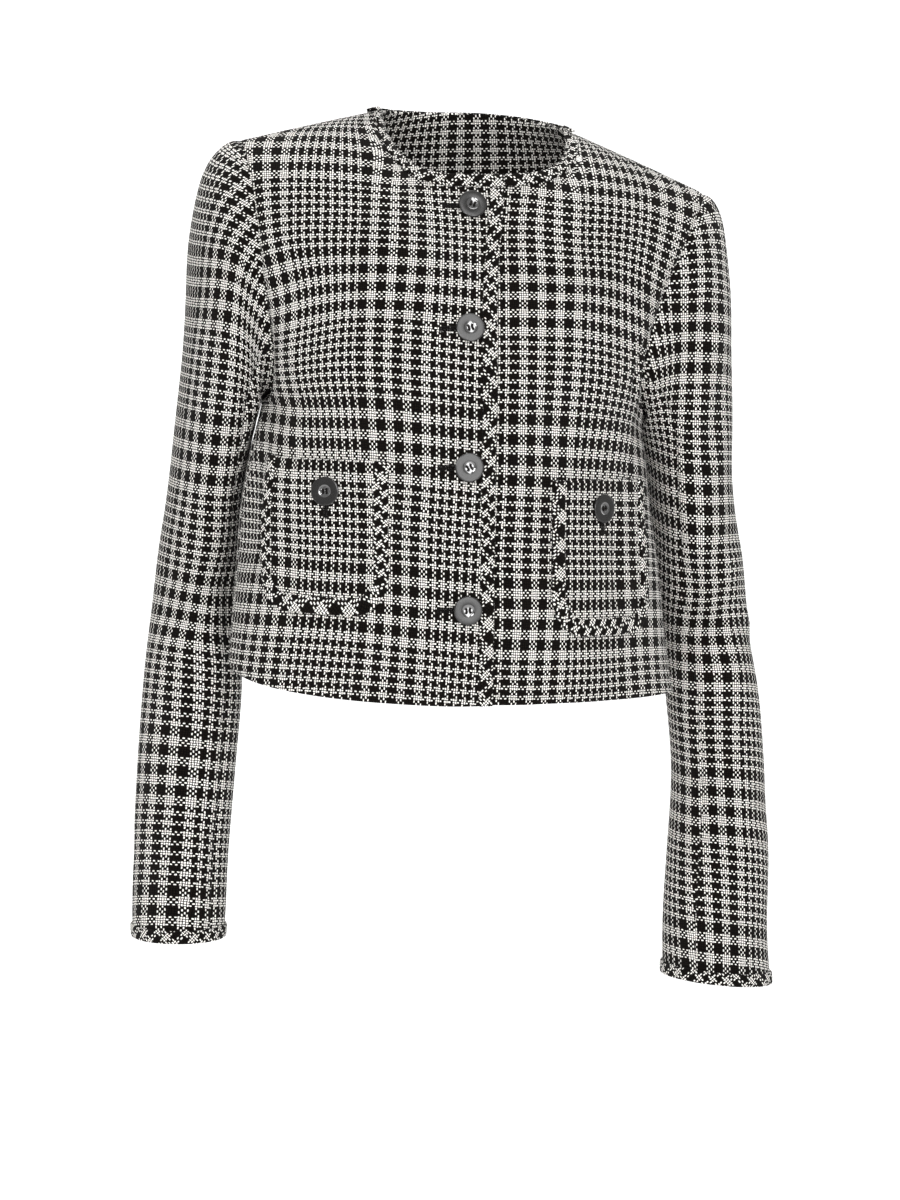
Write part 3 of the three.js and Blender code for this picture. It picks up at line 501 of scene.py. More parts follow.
def sleeve_point(side, a, w, creased=True):
    """A point of a sleeve's outer face. Its first rings take the form of the armhole, less at each."""
    a, w = np.broadcast_arrays(np.asarray(a, float) % 1.0, np.asarray(w, float))
    row = row_at(SLEEVE[side], w)
    first = {name: values[0] for name, values in SLEEVE[side].items()}
    p = sleeve_ring(row, a)
    p += (at_armhole(body_point, side, a) - sleeve_ring(first, a)) * row["arm"][..., None]
    middle = np.stack([(row["ox"] + row["ix"]) / 2, (row["oy"] + row["iy"]) / 2, p[..., 2]], -1)
    height = fold_height(SLEEVE_FOLDS[side], p) * smooth(w / FOLD_FROM)
    if creased:
        edge = smooth(w / CREASE_FROM) * smooth((LAST_RING - w) / FADE_CUFF)
        height = height + (fold_height(SLEEVE_CREASES[side], p) + slack(p)) * edge
    return p + unit(p - middle) * height[..., None]


def sleeve_normal(side, a, w, creased=True):
    """The outward direction at a point of a sleeve."""
    a, w = np.broadcast_arrays(np.asarray(a, float), np.asarray(w, float))
    around = sleeve_point(side, a + SLOPE_STEP, w, creased) - sleeve_point(side, a - SLOPE_STEP, w, creased)
    low = sleeve_point(side, a, np.minimum(w + SLOPE_STEP, LAST_RING), creased)
    high = sleeve_point(side, a, np.maximum(w - SLOPE_STEP, 0), creased)
    n = unit(np.cross(around, low - high))
    return n if side == "left" else -n


# ---- Laying the woven cloth flat ----
FLAT_ROUNDS = 400
FLAT_CLOSE = 1e-6


def pulls_on(across, down):
    """The sum of the pulls on each grid point from its neighbours, from those along rows and columns."""
    total = np.zeros((across.shape[0], down.shape[1]))
    total[:, 1:] += across
    total[:, :-1] -= across
    total[1:] += down
    total[:-1] -= down
    return total


def flat_coordinate(grid, way):
    """A number for each grid point that grows by 1 a millimetre the given way, as evenly as it can."""
    row_steps = dot(grid[:, 1:] - grid[:, :-1], unit(way[:, 1:] + way[:, :-1]))[..., 0]
    column_steps = dot(grid[1:] - grid[:-1], unit(way[1:] + way[:-1]))[..., 0]
    middle = grid.shape[0] // 2
    f = np.zeros(grid.shape[:2])
    f[middle, 1:] = np.cumsum(row_steps[middle])
    f[middle + 1 :] = f[middle] + np.cumsum(column_steps[middle:], 0)
    f[:middle] = (f[middle] - np.cumsum(column_steps[:middle][::-1], 0))[::-1]
    # Conjugate gradients, until every point is where its neighbours' steps want it.
    rest = pulls_on(row_steps, column_steps) - pulls_on(np.diff(f, axis=1), np.diff(f, axis=0))
    step, size = rest.copy(), (rest * rest).sum()
    for _ in range(FLAT_ROUNDS):
        pushed = pulls_on(np.diff(step, axis=1), np.diff(step, axis=0))
        gain = size / max((step * pushed).sum(), 1e-12)
        f += gain * step
        rest -= gain * pushed
        fresh = (rest * rest).sum()
        if fresh < FLAT_CLOSE:
            break
        step = rest + step * (fresh / size)
        size = fresh
    return f


def flatten(grid, outward, down, turn):
    """The flat pattern of a panel: for each grid point its place across and down the cloth, in mm, that
    keeps the thread lengths best. down is the way the warp runs, turn tips it, in radians."""
    down = unit(down - outward * dot(down, outward))
    across = np.cross(outward, down)
    c, s = math.cos(turn), math.sin(turn)
    ways = (across * c + down * s, down * c - across * s)
    return np.stack([flat_coordinate(grid, way) for way in ways], -1)


def flat_size(flat):
    """Width, length and area of the cut, in metres, from a flat pattern."""
    low, high = flat.reshape(-1, 2).min(0), flat.reshape(-1, 2).max(0)
    a, b, c, d = flat[:-1, :-1], flat[:-1, 1:], flat[1:, 1:], flat[1:, :-1]
    cross = (c - a)[..., 0] * (d - b)[..., 1] - (c - a)[..., 1] * (d - b)[..., 0]
    width, length = (high - low) * MM
    area = min(np.abs(cross).sum() / 2 * MM * MM, width * length)
    return float(width), float(length), float(area)


# ---- Meshes ----
EDGE_ROUND = 0.35  # how far a cut edge bulges, as a share of the cloth's thickness


def mesh_object(name, points, faces, material):
    """A smooth mesh object, from points in metres."""
    mesh = bpy.data.meshes.new(name)
    mesh.from_pydata([tuple(map(float, p)) for p in points], [], [tuple(map(int, f)) for f in faces])
    mesh.materials.append(material)
    mesh.polygons.foreach_set("use_smooth", [True] * len(mesh.polygons))
    made = bpy.data.objects.new(name, mesh)
    bpy.context.scene.collection.objects.link(made)
    return made


def new_piece(name, points, faces, material, coords=None):
    """A piece that rides on the body, from points in mm. coords gives each face corner its thread place."""
    piece = mesh_object(name, points * MM, faces, material)
    if coords is not None:
        layer = piece.data.uv_layers.new(name="weave")
        layer.data.foreach_set("uv", np.asarray(coords, np.float32).reshape(-1))
    piece.data.validate()
    piece.data.update()
    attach(piece, "root")
    return piece


def edge_runs(rows, cols, wrap):
    """The grid places along each edge, back to the first: a ring at each end of a tube, or once round."""
    if wrap:
        return [[(0, j) for j in range(cols + 1)], [(rows - 1, j) for j in range(cols, -1, -1)]]
    run = [(0, j) for j in range(cols)] + [(i, cols - 1) for i in range(1, rows)]
    run += [(rows - 1, j) for j in range(cols - 2, -1, -1)] + [(i, 0) for i in range(rows - 2, -1, -1)]
    return [run]


def edge_point(outer, inner, i, j, wrap):
    """The crest of the rounded edge beside a grid place."""
    rows, cols = outer.shape[:2]
    j %= cols
    out = np.zeros(3)
    if i in (0, rows - 1):
        out += unit(outer[i, j] - outer[1 if i == 0 else rows - 2, j])
    if not wrap and j in (0, cols - 1):
        out += unit(outer[i, j] - outer[i, 1 if j == 0 else cols - 2])
    thick = np.linalg.norm(outer[i, j] - inner[i, j])
    return (outer[i, j] + inner[i, j]) / 2 + unit(out) * thick * EDGE_ROUND


def quads(a):
    """The four corners of each cell of a grid of numbers."""
    return np.stack([a[:-1, :-1], a[:-1, 1:], a[1:, 1:], a[1:, :-1]], -1).reshape(-1, 4)


def shell(name, outer, inner, threads, material, wrap=False):
    """A sheet with two faces and rounded edges, from two grids. threads has one column more if wrapped."""
    rows, cols = outer.shape[:2]
    deep = rows * cols  # an inner point's number, less its outer point's
    index = np.arange(deep).reshape(rows, cols)
    if wrap:
        index = np.concatenate([index, index[:, :1]], 1)
    place = np.arange(index.size).reshape(index.shape)
    points = [outer.reshape(-1, 3), inner.reshape(-1, 3)]
    faces = [quads(index), quads(index)[:, ::-1] + deep]
    coords = [quads(place), quads(place)[:, ::-1]]
    start = 2 * deep
    for run in edge_runs(rows, cols, wrap):
        crest = [edge_point(outer, inner, i, j, wrap) for i, j in run[:-1]]
        ring = np.append(start + np.arange(len(crest)), start)
        edge = np.array([index[at] for at in run])
        spot = np.array([place[at] for at in run])
        points.append(np.array(crest))
        faces.append(np.stack([edge[:-1], ring[:-1], ring[1:], edge[1:]], -1))
        faces.append(np.stack([ring[:-1], edge[:-1] + deep, edge[1:] + deep, ring[1:]], -1))
        coords += [np.stack([spot[:-1], spot[:-1], spot[1:], spot[1:]], -1)] * 2
        start += len(crest)
    points, faces, coords = np.concatenate(points), np.concatenate(faces), np.concatenate(coords)
    a, b, c, d = (points[faces[:, k]] for k in range(4))
    if (np.cross(b, c) * a).sum() + (np.cross(c, d) * a).sum() < 0:  # inside out
        faces, coords = faces[:, ::-1], coords[:, ::-1]
    return new_piece(name, points, faces, material, threads.reshape(-1, 2)[coords])


def cloth_piece(node, name, outer, inner, threads, material="straight", wrap=False):
    """A sewn piece in place of its solid, which it hides."""
    piece = shell(name, outer, inner, threads, tweed_of(material), wrap)
    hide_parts(node)


# ---- Materials ----
def add(tree, kind, inputs=None, **settings):
    """Adds a node with its settings. Each input is a number, a colour, a node or one of its outputs."""
    made = tree.nodes.new(kind)
    for name, value in settings.items():
        setattr(made, name, value)
    for name, value in (inputs or {}).items():
        if isinstance(value, bpy.types.Node):
            value = value.outputs[0]
        if isinstance(value, bpy.types.NodeSocket):
            tree.links.new(value, made.inputs[name])
        else:
            made.inputs[name].default_value = value
    return made


def blank(name):
    """A new material with no nodes, and its tree."""
    material = bpy.data.materials.new(name)
    material.use_nodes = True
    material.node_tree.nodes.clear()
    return material, material.node_tree


# The check, in threads: four dark and four light, four times, then two and two, eight times.
REPEAT = 64
WIDE_PART = 32
# Lengths in the tweed are in threads, about 1.9 mm each: a sway every two threads, a tuft every half.
SWAYS, TUFTS = 0.45, 1.7
RELIEF = 0.0004  # height of a thread, in metres


def tweed(name, black, cream):
    """Woollen yarn in plain weave: matt, rounded threads, with painted shade in the hollows between them."""
    material, tree = blank(name)
    threads = add(tree, "ShaderNodeUVMap", uv_map="weave")
    # Each thread wanders a quarter of its width to either side.
    bends = {"Vector": threads, "Scale": SWAYS, "Detail": 1.0}
    sway = add(tree, "ShaderNodeTexNoise", bends, noise_dimensions="2D").outputs["Color"]
    moved = add(tree, "ShaderNodeVectorMath", {0: sway, 1: (0.5, 0.5, 0.5)}, operation="SUBTRACT")
    scaled = add(tree, "ShaderNodeVectorMath", {0: moved, 1: (0.5, 0.5, 0)}, operation="MULTIPLY")
    place = add(tree, "ShaderNodeVectorMath", {0: threads, 1: scaled}, operation="ADD")
    split = add(tree, "ShaderNodeSeparateXYZ", {0: place})
    # For ends and picks: each thread's number, whether it is dark, and its rounded height.
    number, dark, hump = [], [], []
    for k in (0, 1):
        whole = add(tree, "ShaderNodeMath", {0: split.outputs[k]}, operation="FLOOR")
        part = add(tree, "ShaderNodeMath", {0: split.outputs[k]}, operation="FRACT")
        spot = add(tree, "ShaderNodeMath", {0: whole, 1: REPEAT}, operation="FLOORED_MODULO")
        wide = add(tree, "ShaderNodeMath", {0: spot, 1: WIDE_PART}, operation="LESS_THAN")
        stripe = add(tree, "ShaderNodeMath", {0: wide, 1: 4, 2: 4}, operation="MULTIPLY_ADD")
        turn = add(tree, "ShaderNodeMath", {0: spot, 1: stripe}, operation="FLOORED_MODULO")
        share = add(tree, "ShaderNodeMath", {0: turn, 1: stripe}, operation="DIVIDE")
        angle = add(tree, "ShaderNodeMath", {0: part, 1: math.pi}, operation="MULTIPLY")
        number.append(whole)
        dark.append(add(tree, "ShaderNodeMath", {0: share, 1: 0.499}, operation="LESS_THAN"))
        hump.append(add(tree, "ShaderNodeMath", {0: angle}, operation="SINE"))
    # Plain weave: the pick is on top where the numbers of the two threads add up to an odd one.
    total = add(tree, "ShaderNodeMath", {0: number[0], 1: number[1]}, operation="ADD")
    over = add(tree, "ShaderNodeMath", {0: total, 1: 2}, operation="FLOORED_MODULO")
    on_top = add(tree, "ShaderNodeMix", {0: over, 2: dark[0], 3: dark[1]})
    yarn = add(tree, "ShaderNodeMix", {0: over, 2: number[0], 3: number[1]})
    width = add(tree, "ShaderNodeMix", {0: over, 2: hump[0], 3: hump[1]})
    length = add(tree, "ShaderNodeMix", {0: over, 2: hump[1], 3: hump[0]})
    rounded = add(tree, "ShaderNodeMath", {0: width, 1: 0.6}, operation="POWER")
    float_ = add(tree, "ShaderNodeMath", {0: length, 1: 0.45, 2: 0.55}, operation="MULTIPLY_ADD")
    height = add(tree, "ShaderNodeMath", {0: rounded, 1: float_}, operation="MULTIPLY")
    # Painted shade: darker between threads, and where one goes under its neighbour.
    soft = {"interpolation_type": "SMOOTHSTEP"}
    side = add(tree, "ShaderNodeMapRange", {0: width, 1: 0.57, 2: 0.91, 3: 0.02, 4: 1.0}, **soft)
    end = add(tree, "ShaderNodeMapRange", {0: length, 1: 0.0, 2: 0.5, 3: 0.16, 4: 1.0}, **soft)
    painted_hollow_shade = add(tree, "ShaderNodeMath", {0: side, 1: end}, operation="MULTIPLY")
    own = add(tree, "ShaderNodeTexWhiteNoise", {"W": yarn}, noise_dimensions="1D")
    tone = add(tree, "ShaderNodeMapRange", {0: own, 3: 0.9, 4: 1.08})
    tufts = {"Vector": threads, "Scale": TUFTS, "Detail": 2.0}
    fibre = add(tree, "ShaderNodeTexNoise", tufts, noise_dimensions="2D")
    fleck = add(tree, "ShaderNodeMapRange", {0: fibre, 1: 0.3, 2: 0.7, 3: 0.84, 4: 1.12})
    # The painted shade of the hollows, times each yarn's own random tone, then times its flecks.
    hollow_shade_and_tone = add(tree, "ShaderNodeMath", {0: painted_hollow_shade, 1: tone}, operation="MULTIPLY")
    value = add(tree, "ShaderNodeMath", {0: hollow_shade_and_tone, 1: fleck}, operation="MULTIPLY")
    colour = add(tree, "ShaderNodeMix", {0: on_top, 6: (*cream, 1), 7: (*black, 1)}, data_type="RGBA")
    shaded = add(tree, "ShaderNodeVectorMath", {0: colour.outputs[2], "Scale": value}, operation="SCALE")
    relief = add(tree, "ShaderNodeBump", {"Height": height, "Strength": 0.55, "Distance": RELIEF})
    skin = {"Base Color": shaded, "Roughness": 0.95, "Specular IOR Level": 0.08, "Normal": relief}
    skin.update({"Sheen Weight": 0.02, "Sheen Roughness": 0.6})
    add(tree, "ShaderNodeOutputMaterial", {0: add(tree, "ShaderNodeBsdfPrincipled", skin)})
    return material


CLOUD = 0.14 / MM  # in a metre: a cloud every 7 mm
GRAIN = 0.9 / MM  # in a metre: the marks of turning and the twist of a thread, a little over 1 mm apart


def resin(name, dark, rough=0.22, index=1.58):
    """Cast polyester resin, turned to a satin face: dark, with a soft even gloss and a faint cloud in it."""
    material, tree = blank(name)
    spot = add(tree, "ShaderNodeTexCoord").outputs["Object"]
    cloud = add(tree, "ShaderNodeTexNoise", {"Vector": spot, "Scale": CLOUD, "Detail": 3.0})
    pale = [min(1, c * 1.3 + 0.002) for c in dark]
    base = add(tree, "ShaderNodeMix", {0: cloud, 6: (*dark, 1), 7: (*pale, 1)}, data_type="RGBA")
    fine = add(tree, "ShaderNodeTexNoise", {"Vector": spot, "Scale": GRAIN, "Detail": 2.0})
    gloss = add(tree, "ShaderNodeMapRange", {0: fine, 3: rough * 0.85, 4: rough * 1.15})
    relief = add(tree, "ShaderNodeBump", {"Height": fine, "Strength": 0.02, "Distance": 0.0001})
    skin = {"Base Color": base.outputs[2], "Roughness": gloss, "IOR": index, "Normal": relief}
    add(tree, "ShaderNodeOutputMaterial", {0: add(tree, "ShaderNodeBsdfPrincipled", skin)})
    return material


def lacquer(name, dark):
    """Resin under hard clear lacquer, buffed: the eye of a button shows a lamp as a white patch."""
    return resin(name, dark, 0.06, 2.7)


def sewing_thread(name, colour):
    """Spun polyester thread: matt, with a fine twist across it, painted shade in the twist's grooves and
    painted light on its ridges.
    """
    material, tree = blank(name)
    spot = add(tree, "ShaderNodeTexCoord").outputs["Object"]
    wave = {"Vector": spot, "Scale": GRAIN, "Distortion": 1.0}
    twist = add(tree, "ShaderNodeTexWave", wave, bands_direction="DIAGONAL")
    # Painted shade and light: darker in the twist's grooves and lighter on its ridges, following the same
    # waves as the bump.
    low, high = [c * 0.6 for c in colour], [min(1, c * 1.3) for c in colour]
    base = add(tree, "ShaderNodeMix", {0: twist, 6: (*low, 1), 7: (*high, 1)}, data_type="RGBA")
    relief = add(tree, "ShaderNodeBump", {"Height": twist, "Strength": 0.4, "Distance": 0.0002})
    skin = {"Base Color": base.outputs[2], "Roughness": 0.8, "Specular IOR Level": 0.15, "Normal": relief}
    add(tree, "ShaderNodeOutputMaterial", {0: add(tree, "ShaderNodeBsdfPrincipled", skin)})
    return material


def backdrop(name, colour):
    """Matt white paper: even, with a barely seen mottle, three patches to a metre."""
    material, tree = blank(name)
    spot = add(tree, "ShaderNodeTexCoord").outputs["Object"]
    mottle = add(tree, "ShaderNodeTexNoise", {"Vector": spot, "Scale": 3.0, "Detail": 2.0})
    shaded = [c * 0.99 for c in colour]
    base = add(tree, "ShaderNodeMix", {0: mottle, 6: (*shaded, 1), 7: (*colour, 1)}, data_type="RGBA")
    skin = add(tree, "ShaderNodeBsdfPrincipled", {"Base Color": base.outputs[2], "Roughness": 0.9})
    add(tree, "ShaderNodeOutputMaterial", {0: skin})
    return material


# ---- What a user would change: lengths in metres, colours as sRGB hex ----
class JacketSizes(bpy.types.PropertyGroup):
    cloth: bpy.props.FloatProperty(
        name="Cloth",
        description="Thickness of the tweed",
        default=0.002,
        min=0.001,
        max=0.003,
        unit="LENGTH",
        precision=5,
    )
    band: bpy.props.FloatProperty(
        name="Band",
        description="Thickness of a bias band",
        default=0.0016,
        min=0.0008,
        max=0.0025,
        unit="LENGTH",
        precision=5,
    )
    end_pitch: bpy.props.FloatProperty(
        name="End pitch",
        description="Spacing of the warp ends",
        default=0.00182,
        min=0.0005,
        max=0.004,
        unit="LENGTH",
        precision=5,
    )
    pick_pitch: bpy.props.FloatProperty(
        name="Pick pitch",
        description="Spacing of the weft picks",
        default=0.00199,
        min=0.0005,
        max=0.004,
        unit="LENGTH",
        precision=5,
    )
    button: bpy.props.FloatProperty(
        name="Button radius",
        description="Outer radius of a button",
        default=0.0109,
        min=0.006,
        max=0.014,
        unit="LENGTH",
        precision=5,
    )


class JacketColours(bpy.types.PropertyGroup):
    black: bpy.props.FloatVectorProperty(
        name="Black yarn",
        description="Colour of the dark yarn",
        default=linear("#140f0a"),
        subtype="COLOR",
    )
    cream: bpy.props.FloatVectorProperty(
        name="Cream yarn",
        description="Colour of the light yarn",
        default=linear("#fffcf6"),
        subtype="COLOR",
    )
    button: bpy.props.FloatVectorProperty(
        name="Button",
        description="Colour of the resin",
        default=linear("#141312"),
        subtype="COLOR",
    )
    thread: bpy.props.FloatVectorProperty(
        name="Thread",
        description="Colour of the sewing thread",
        default=linear("#161413"),
        subtype="COLOR",
    )
    floor: bpy.props.FloatVectorProperty(
        name="Floor",
        description="Colour of the floor and backdrop",
        default=linear("#f4f4f4"),
        subtype="COLOR",
    )


def size(name):
    """One of the user's sizes, in millimetres."""
    return getattr(bpy.context.scene.jacket_sizes, name) / MM


def pitches():
    """The spacing of the ends and of the picks, in millimetres."""
    return np.array([size("end_pitch"), size("pick_pitch")])


def finish_of(name, make, *colours):
    """A material made once and shared."""
    found = bpy.data.materials.get(name)
    return found or make(name, *[tuple(c) for c in colours])


def tweed_of(grain):
    """The tweed of a piece cut on the straight grain or on the bias."""
    look = bpy.context.scene.jacket_colours
    name = {"straight": "wool_tweed_plain_woven", "bias": "wool_tweed_cut_on_the_bias"}[grain]
    return finish_of(name, tweed, look.black, look.cream)


def black_thread():
    """The finish of all the sewing thread that shows."""
    return finish_of("polyester_thread_spun", sewing_thread, bpy.context.scene.jacket_colours.thread)


# ---- Grids of the pieces ----
HEM_ROWS, YOKE_ROWS = 64, 60  # rows below and above the underarm
HALF_COLUMNS, LAP_COLUMNS = 60, 6  # columns from a side seam to the centre, and from there to the edge
LAP, UNDERLAP = 20, 20  # how far each front reaches past the centre
LAP_DROP, LAP_RAMP = 3.4, 26  # how far the left front lies below the right one, and how it rises from it
SEAM_SINK = 1.1  # how deep a seam draws the cloth in
# The armhole draws it in deeper, most of all above the underarm.
ARMHOLE_SINK = table(
    ["v", "deep"],
    [0.5, 1.1],
    [0.53, 4.6],
    [0.58, 8.6],
    [0.64, 7.6],
    [0.7, 3.0],
    [0.76, 1.9],
    [0.83, 3.0],
    [0.9, 1.5],
    [0.97, 1.1],
)
AROUND = 88  # columns round a sleeve
UNDER_SHARE = 0.3  # the under sleeve's share of them
RING_STEPS = 7  # rows for each ring of a sleeve


def distance_along(points, axis):
    """How far each point of a grid is along its row (axis 1) or column (axis 0), in mm."""
    steps = np.linalg.norm(np.diff(points, axis=axis), axis=-1)
    first = np.zeros_like(np.take(points[..., 0], [0], axis))
    return np.concatenate([first, np.cumsum(steps, axis)], axis)


def rows_of_body():
    """v of each row of a body panel."""
    return np.concatenate([np.linspace(0, V_ARM, HEM_ROWS), np.linspace(V_ARM, 1, YOKE_ROWS)[1:]])


def shared_inward(own, partner):
    """The inward step at a seam, shared by the two pieces that meet there."""
    total = unit(own + partner * (dot(own, partner) > 0.3))
    return total / np.maximum(dot(own, total), 0.6)


def seam_groove(distance, deep=SEAM_SINK):
    """How far the cloth sinks at a distance from a seam, in mm: a deeper seam draws in more of it."""
    return deep * np.exp(-((distance / (4.2 + 0.6 * deep)) ** 2) * 2.2)


def armhole_groove(distance, v):
    """The same beside the armhole, at v."""
    return seam_groove(distance, np.interp(v, ARMHOLE_SINK["v"], ARMHOLE_SINK["deep"]))


def front_columns(side, v):
    """t of each column of a front, in each row: from the side seam to the overlapping edge."""
    edge = t_at(v, -UNDERLAP if side == "left" else LAP)
    half = end_of(side) * (1 - np.arange(HALF_COLUMNS + 1) / HALF_COLUMNS)
    lap = np.arange(1, LAP_COLUMNS + 1) / LAP_COLUMNS
    ts = np.concatenate([np.tile(half, (len(v), 1)), edge[:, None] * lap], 1)
    return ts[:, ::-1] if side == "left" else ts


def is_seam(t):
    return np.abs(t) > 1 - 1e-9


def body_grid(face, side=None):
    """Grid points of a body panel, with their outward normals and inward steps."""
    v = rows_of_body()
    whole = np.tile(np.linspace(-1, 1, 2 * HALF_COLUMNS + 1), (len(v), 1))
    ts = front_columns(side, v) if face == "front" else whole
    vs = np.tile(v[:, None], (1, ts.shape[1]))
    points = body_point(face, ts, vs)
    outward = body_normal(face, ts, vs)
    inward = outward.copy()
    other = "back" if face == "front" else "front"
    across = distance_along(points, 1)
    sink = np.zeros_like(ts)
    # The side seams and armholes: each edge steps inward with the piece that it meets.
    for j, distance in ((0, across), (-1, across[:, -1:] - across)):
        end = ts[0, j]
        if not is_seam(end):
            continue
        partner = body_normal(other, np.full_like(v, end), v)
        half = (1 - v) / (1 - V_ARM) / 2
        a = half if face == "front" else (1 - half) % 1
        arm = sleeve_normal("left" if end > 0 else "right", np.clip(a, 0, 1), np.zeros_like(v))
        low = (v <= V_ARM + 1e-9)[:, None]
        below, above = shared_inward(outward[:, j], partner), shared_inward(outward[:, j], arm)
        inward[:, j] = np.where(low, below, above)
        sink = np.maximum(sink, armhole_groove(distance, vs))
    # The shoulder seams.
    top = np.abs(ts[-1]) > NECK_SHARE - 1e-6
    partner = body_normal(other, ts[-1], np.ones_like(ts[-1]))
    inward[-1] = np.where(top[:, None], shared_inward(outward[-1], partner), inward[-1])
    up = np.linalg.norm(points - points[-1:], axis=-1)
    sink = np.maximum(sink, seam_groove(up) * smooth((np.abs(ts) - NECK_SHARE) / 0.03))
    points = points - inward * sink[..., None]
    if side == "left":  # its edge lies under the right front
        centre = body_point("front", np.zeros_like(v), v, False)[:, None, 0]
        past = points[..., 0] - centre - LAP
        drop = LAP_DROP * (1 - smooth(past / LAP_RAMP))
        points = points - outward * drop[..., None]
    return points, outward, inward


def tie_places(grid, outward, flat, ties):
    """Where the ties lie on the flat pattern, in mm: on the side facing the front, between grid points."""
    places = []
    hidden = np.where(outward[..., 1] < 0.1, 0, 1e6)
    rows, cols = grid.shape[:2]
    for x, z in zip(ties["x"], ties["z"]):
        gap = np.hypot(grid[..., 0] - x, grid[..., 2] - z) + hidden
        i, j = np.unravel_index(np.argmin(gap), gap.shape)
        i, j = min(i, rows - 2), min(j, cols - 2)
        down, across = grid[i + 1, j] - grid[i, j], grid[i, j + 1] - grid[i, j]
        shares = np.linalg.solve(np.stack([down, across], 1)[[0, 2]], np.array([x, z]) - grid[i, j, [0, 2]])
        steps = np.stack([flat[i + 1, j] - flat[i, j], flat[i, j + 1] - flat[i, j]])
        places.append(flat[i, j] + shares @ steps)
    return np.array(places)


def bent(distance):
    """How a thin plate bends with distance."""
    return distance**2 * np.log(np.maximum(distance, 1e-9))


def plate_through(known, wanted, spots):
    """A smooth plate that has the wanted heights at the known places, read at the spots."""
    n = len(known)
    plane = np.concatenate([np.ones((n, 1)), known], 1)
    gaps = np.linalg.norm(known[:, None] - known[None], axis=-1)
    system = np.zeros((n + 3, n + 3))
    system[:n, :n] = bent(gaps) + 1e-4 * np.eye(n)
    system[:n, n:], system[n:, :n] = plane, plane.T
    weights = np.linalg.solve(system, np.concatenate([wanted, np.zeros((3, wanted.shape[1]))]))
    height = np.concatenate([np.ones((len(spots), 1)), spots], 1) @ weights[n:]
    return height + bent(np.linalg.norm(spots[:, None] - known[None], axis=-1)) @ weights[:n]


PLATE_UNIT = 100  # mm


def panel_lay(grid, outward, name, down=STRAIGHT_DOWN):
    """The cut of a panel (width, length and area, in metres) and its thread counts. The counts run true to
    the cloth, then give way smoothly, so that the panel's ties have the threads that they name."""
    flat = flatten(grid, outward, np.broadcast_to(down, grid.shape), math.radians(LAY[name]))
    cut = flat_size(flat)
    ties = TIES[name]
    known = tie_places(grid, outward, flat, ties)
    wanted = np.stack([ties["ends"], ties["picks"]], -1) - known / pitches()
    if len(known) < 4:
        return cut, flat / pitches() + wanted.mean(0)
    give = plate_through(known / PLATE_UNIT, wanted, flat.reshape(-1, 2) / PLATE_UNIT)
    return cut, flat / pitches() + give.reshape(flat.shape)


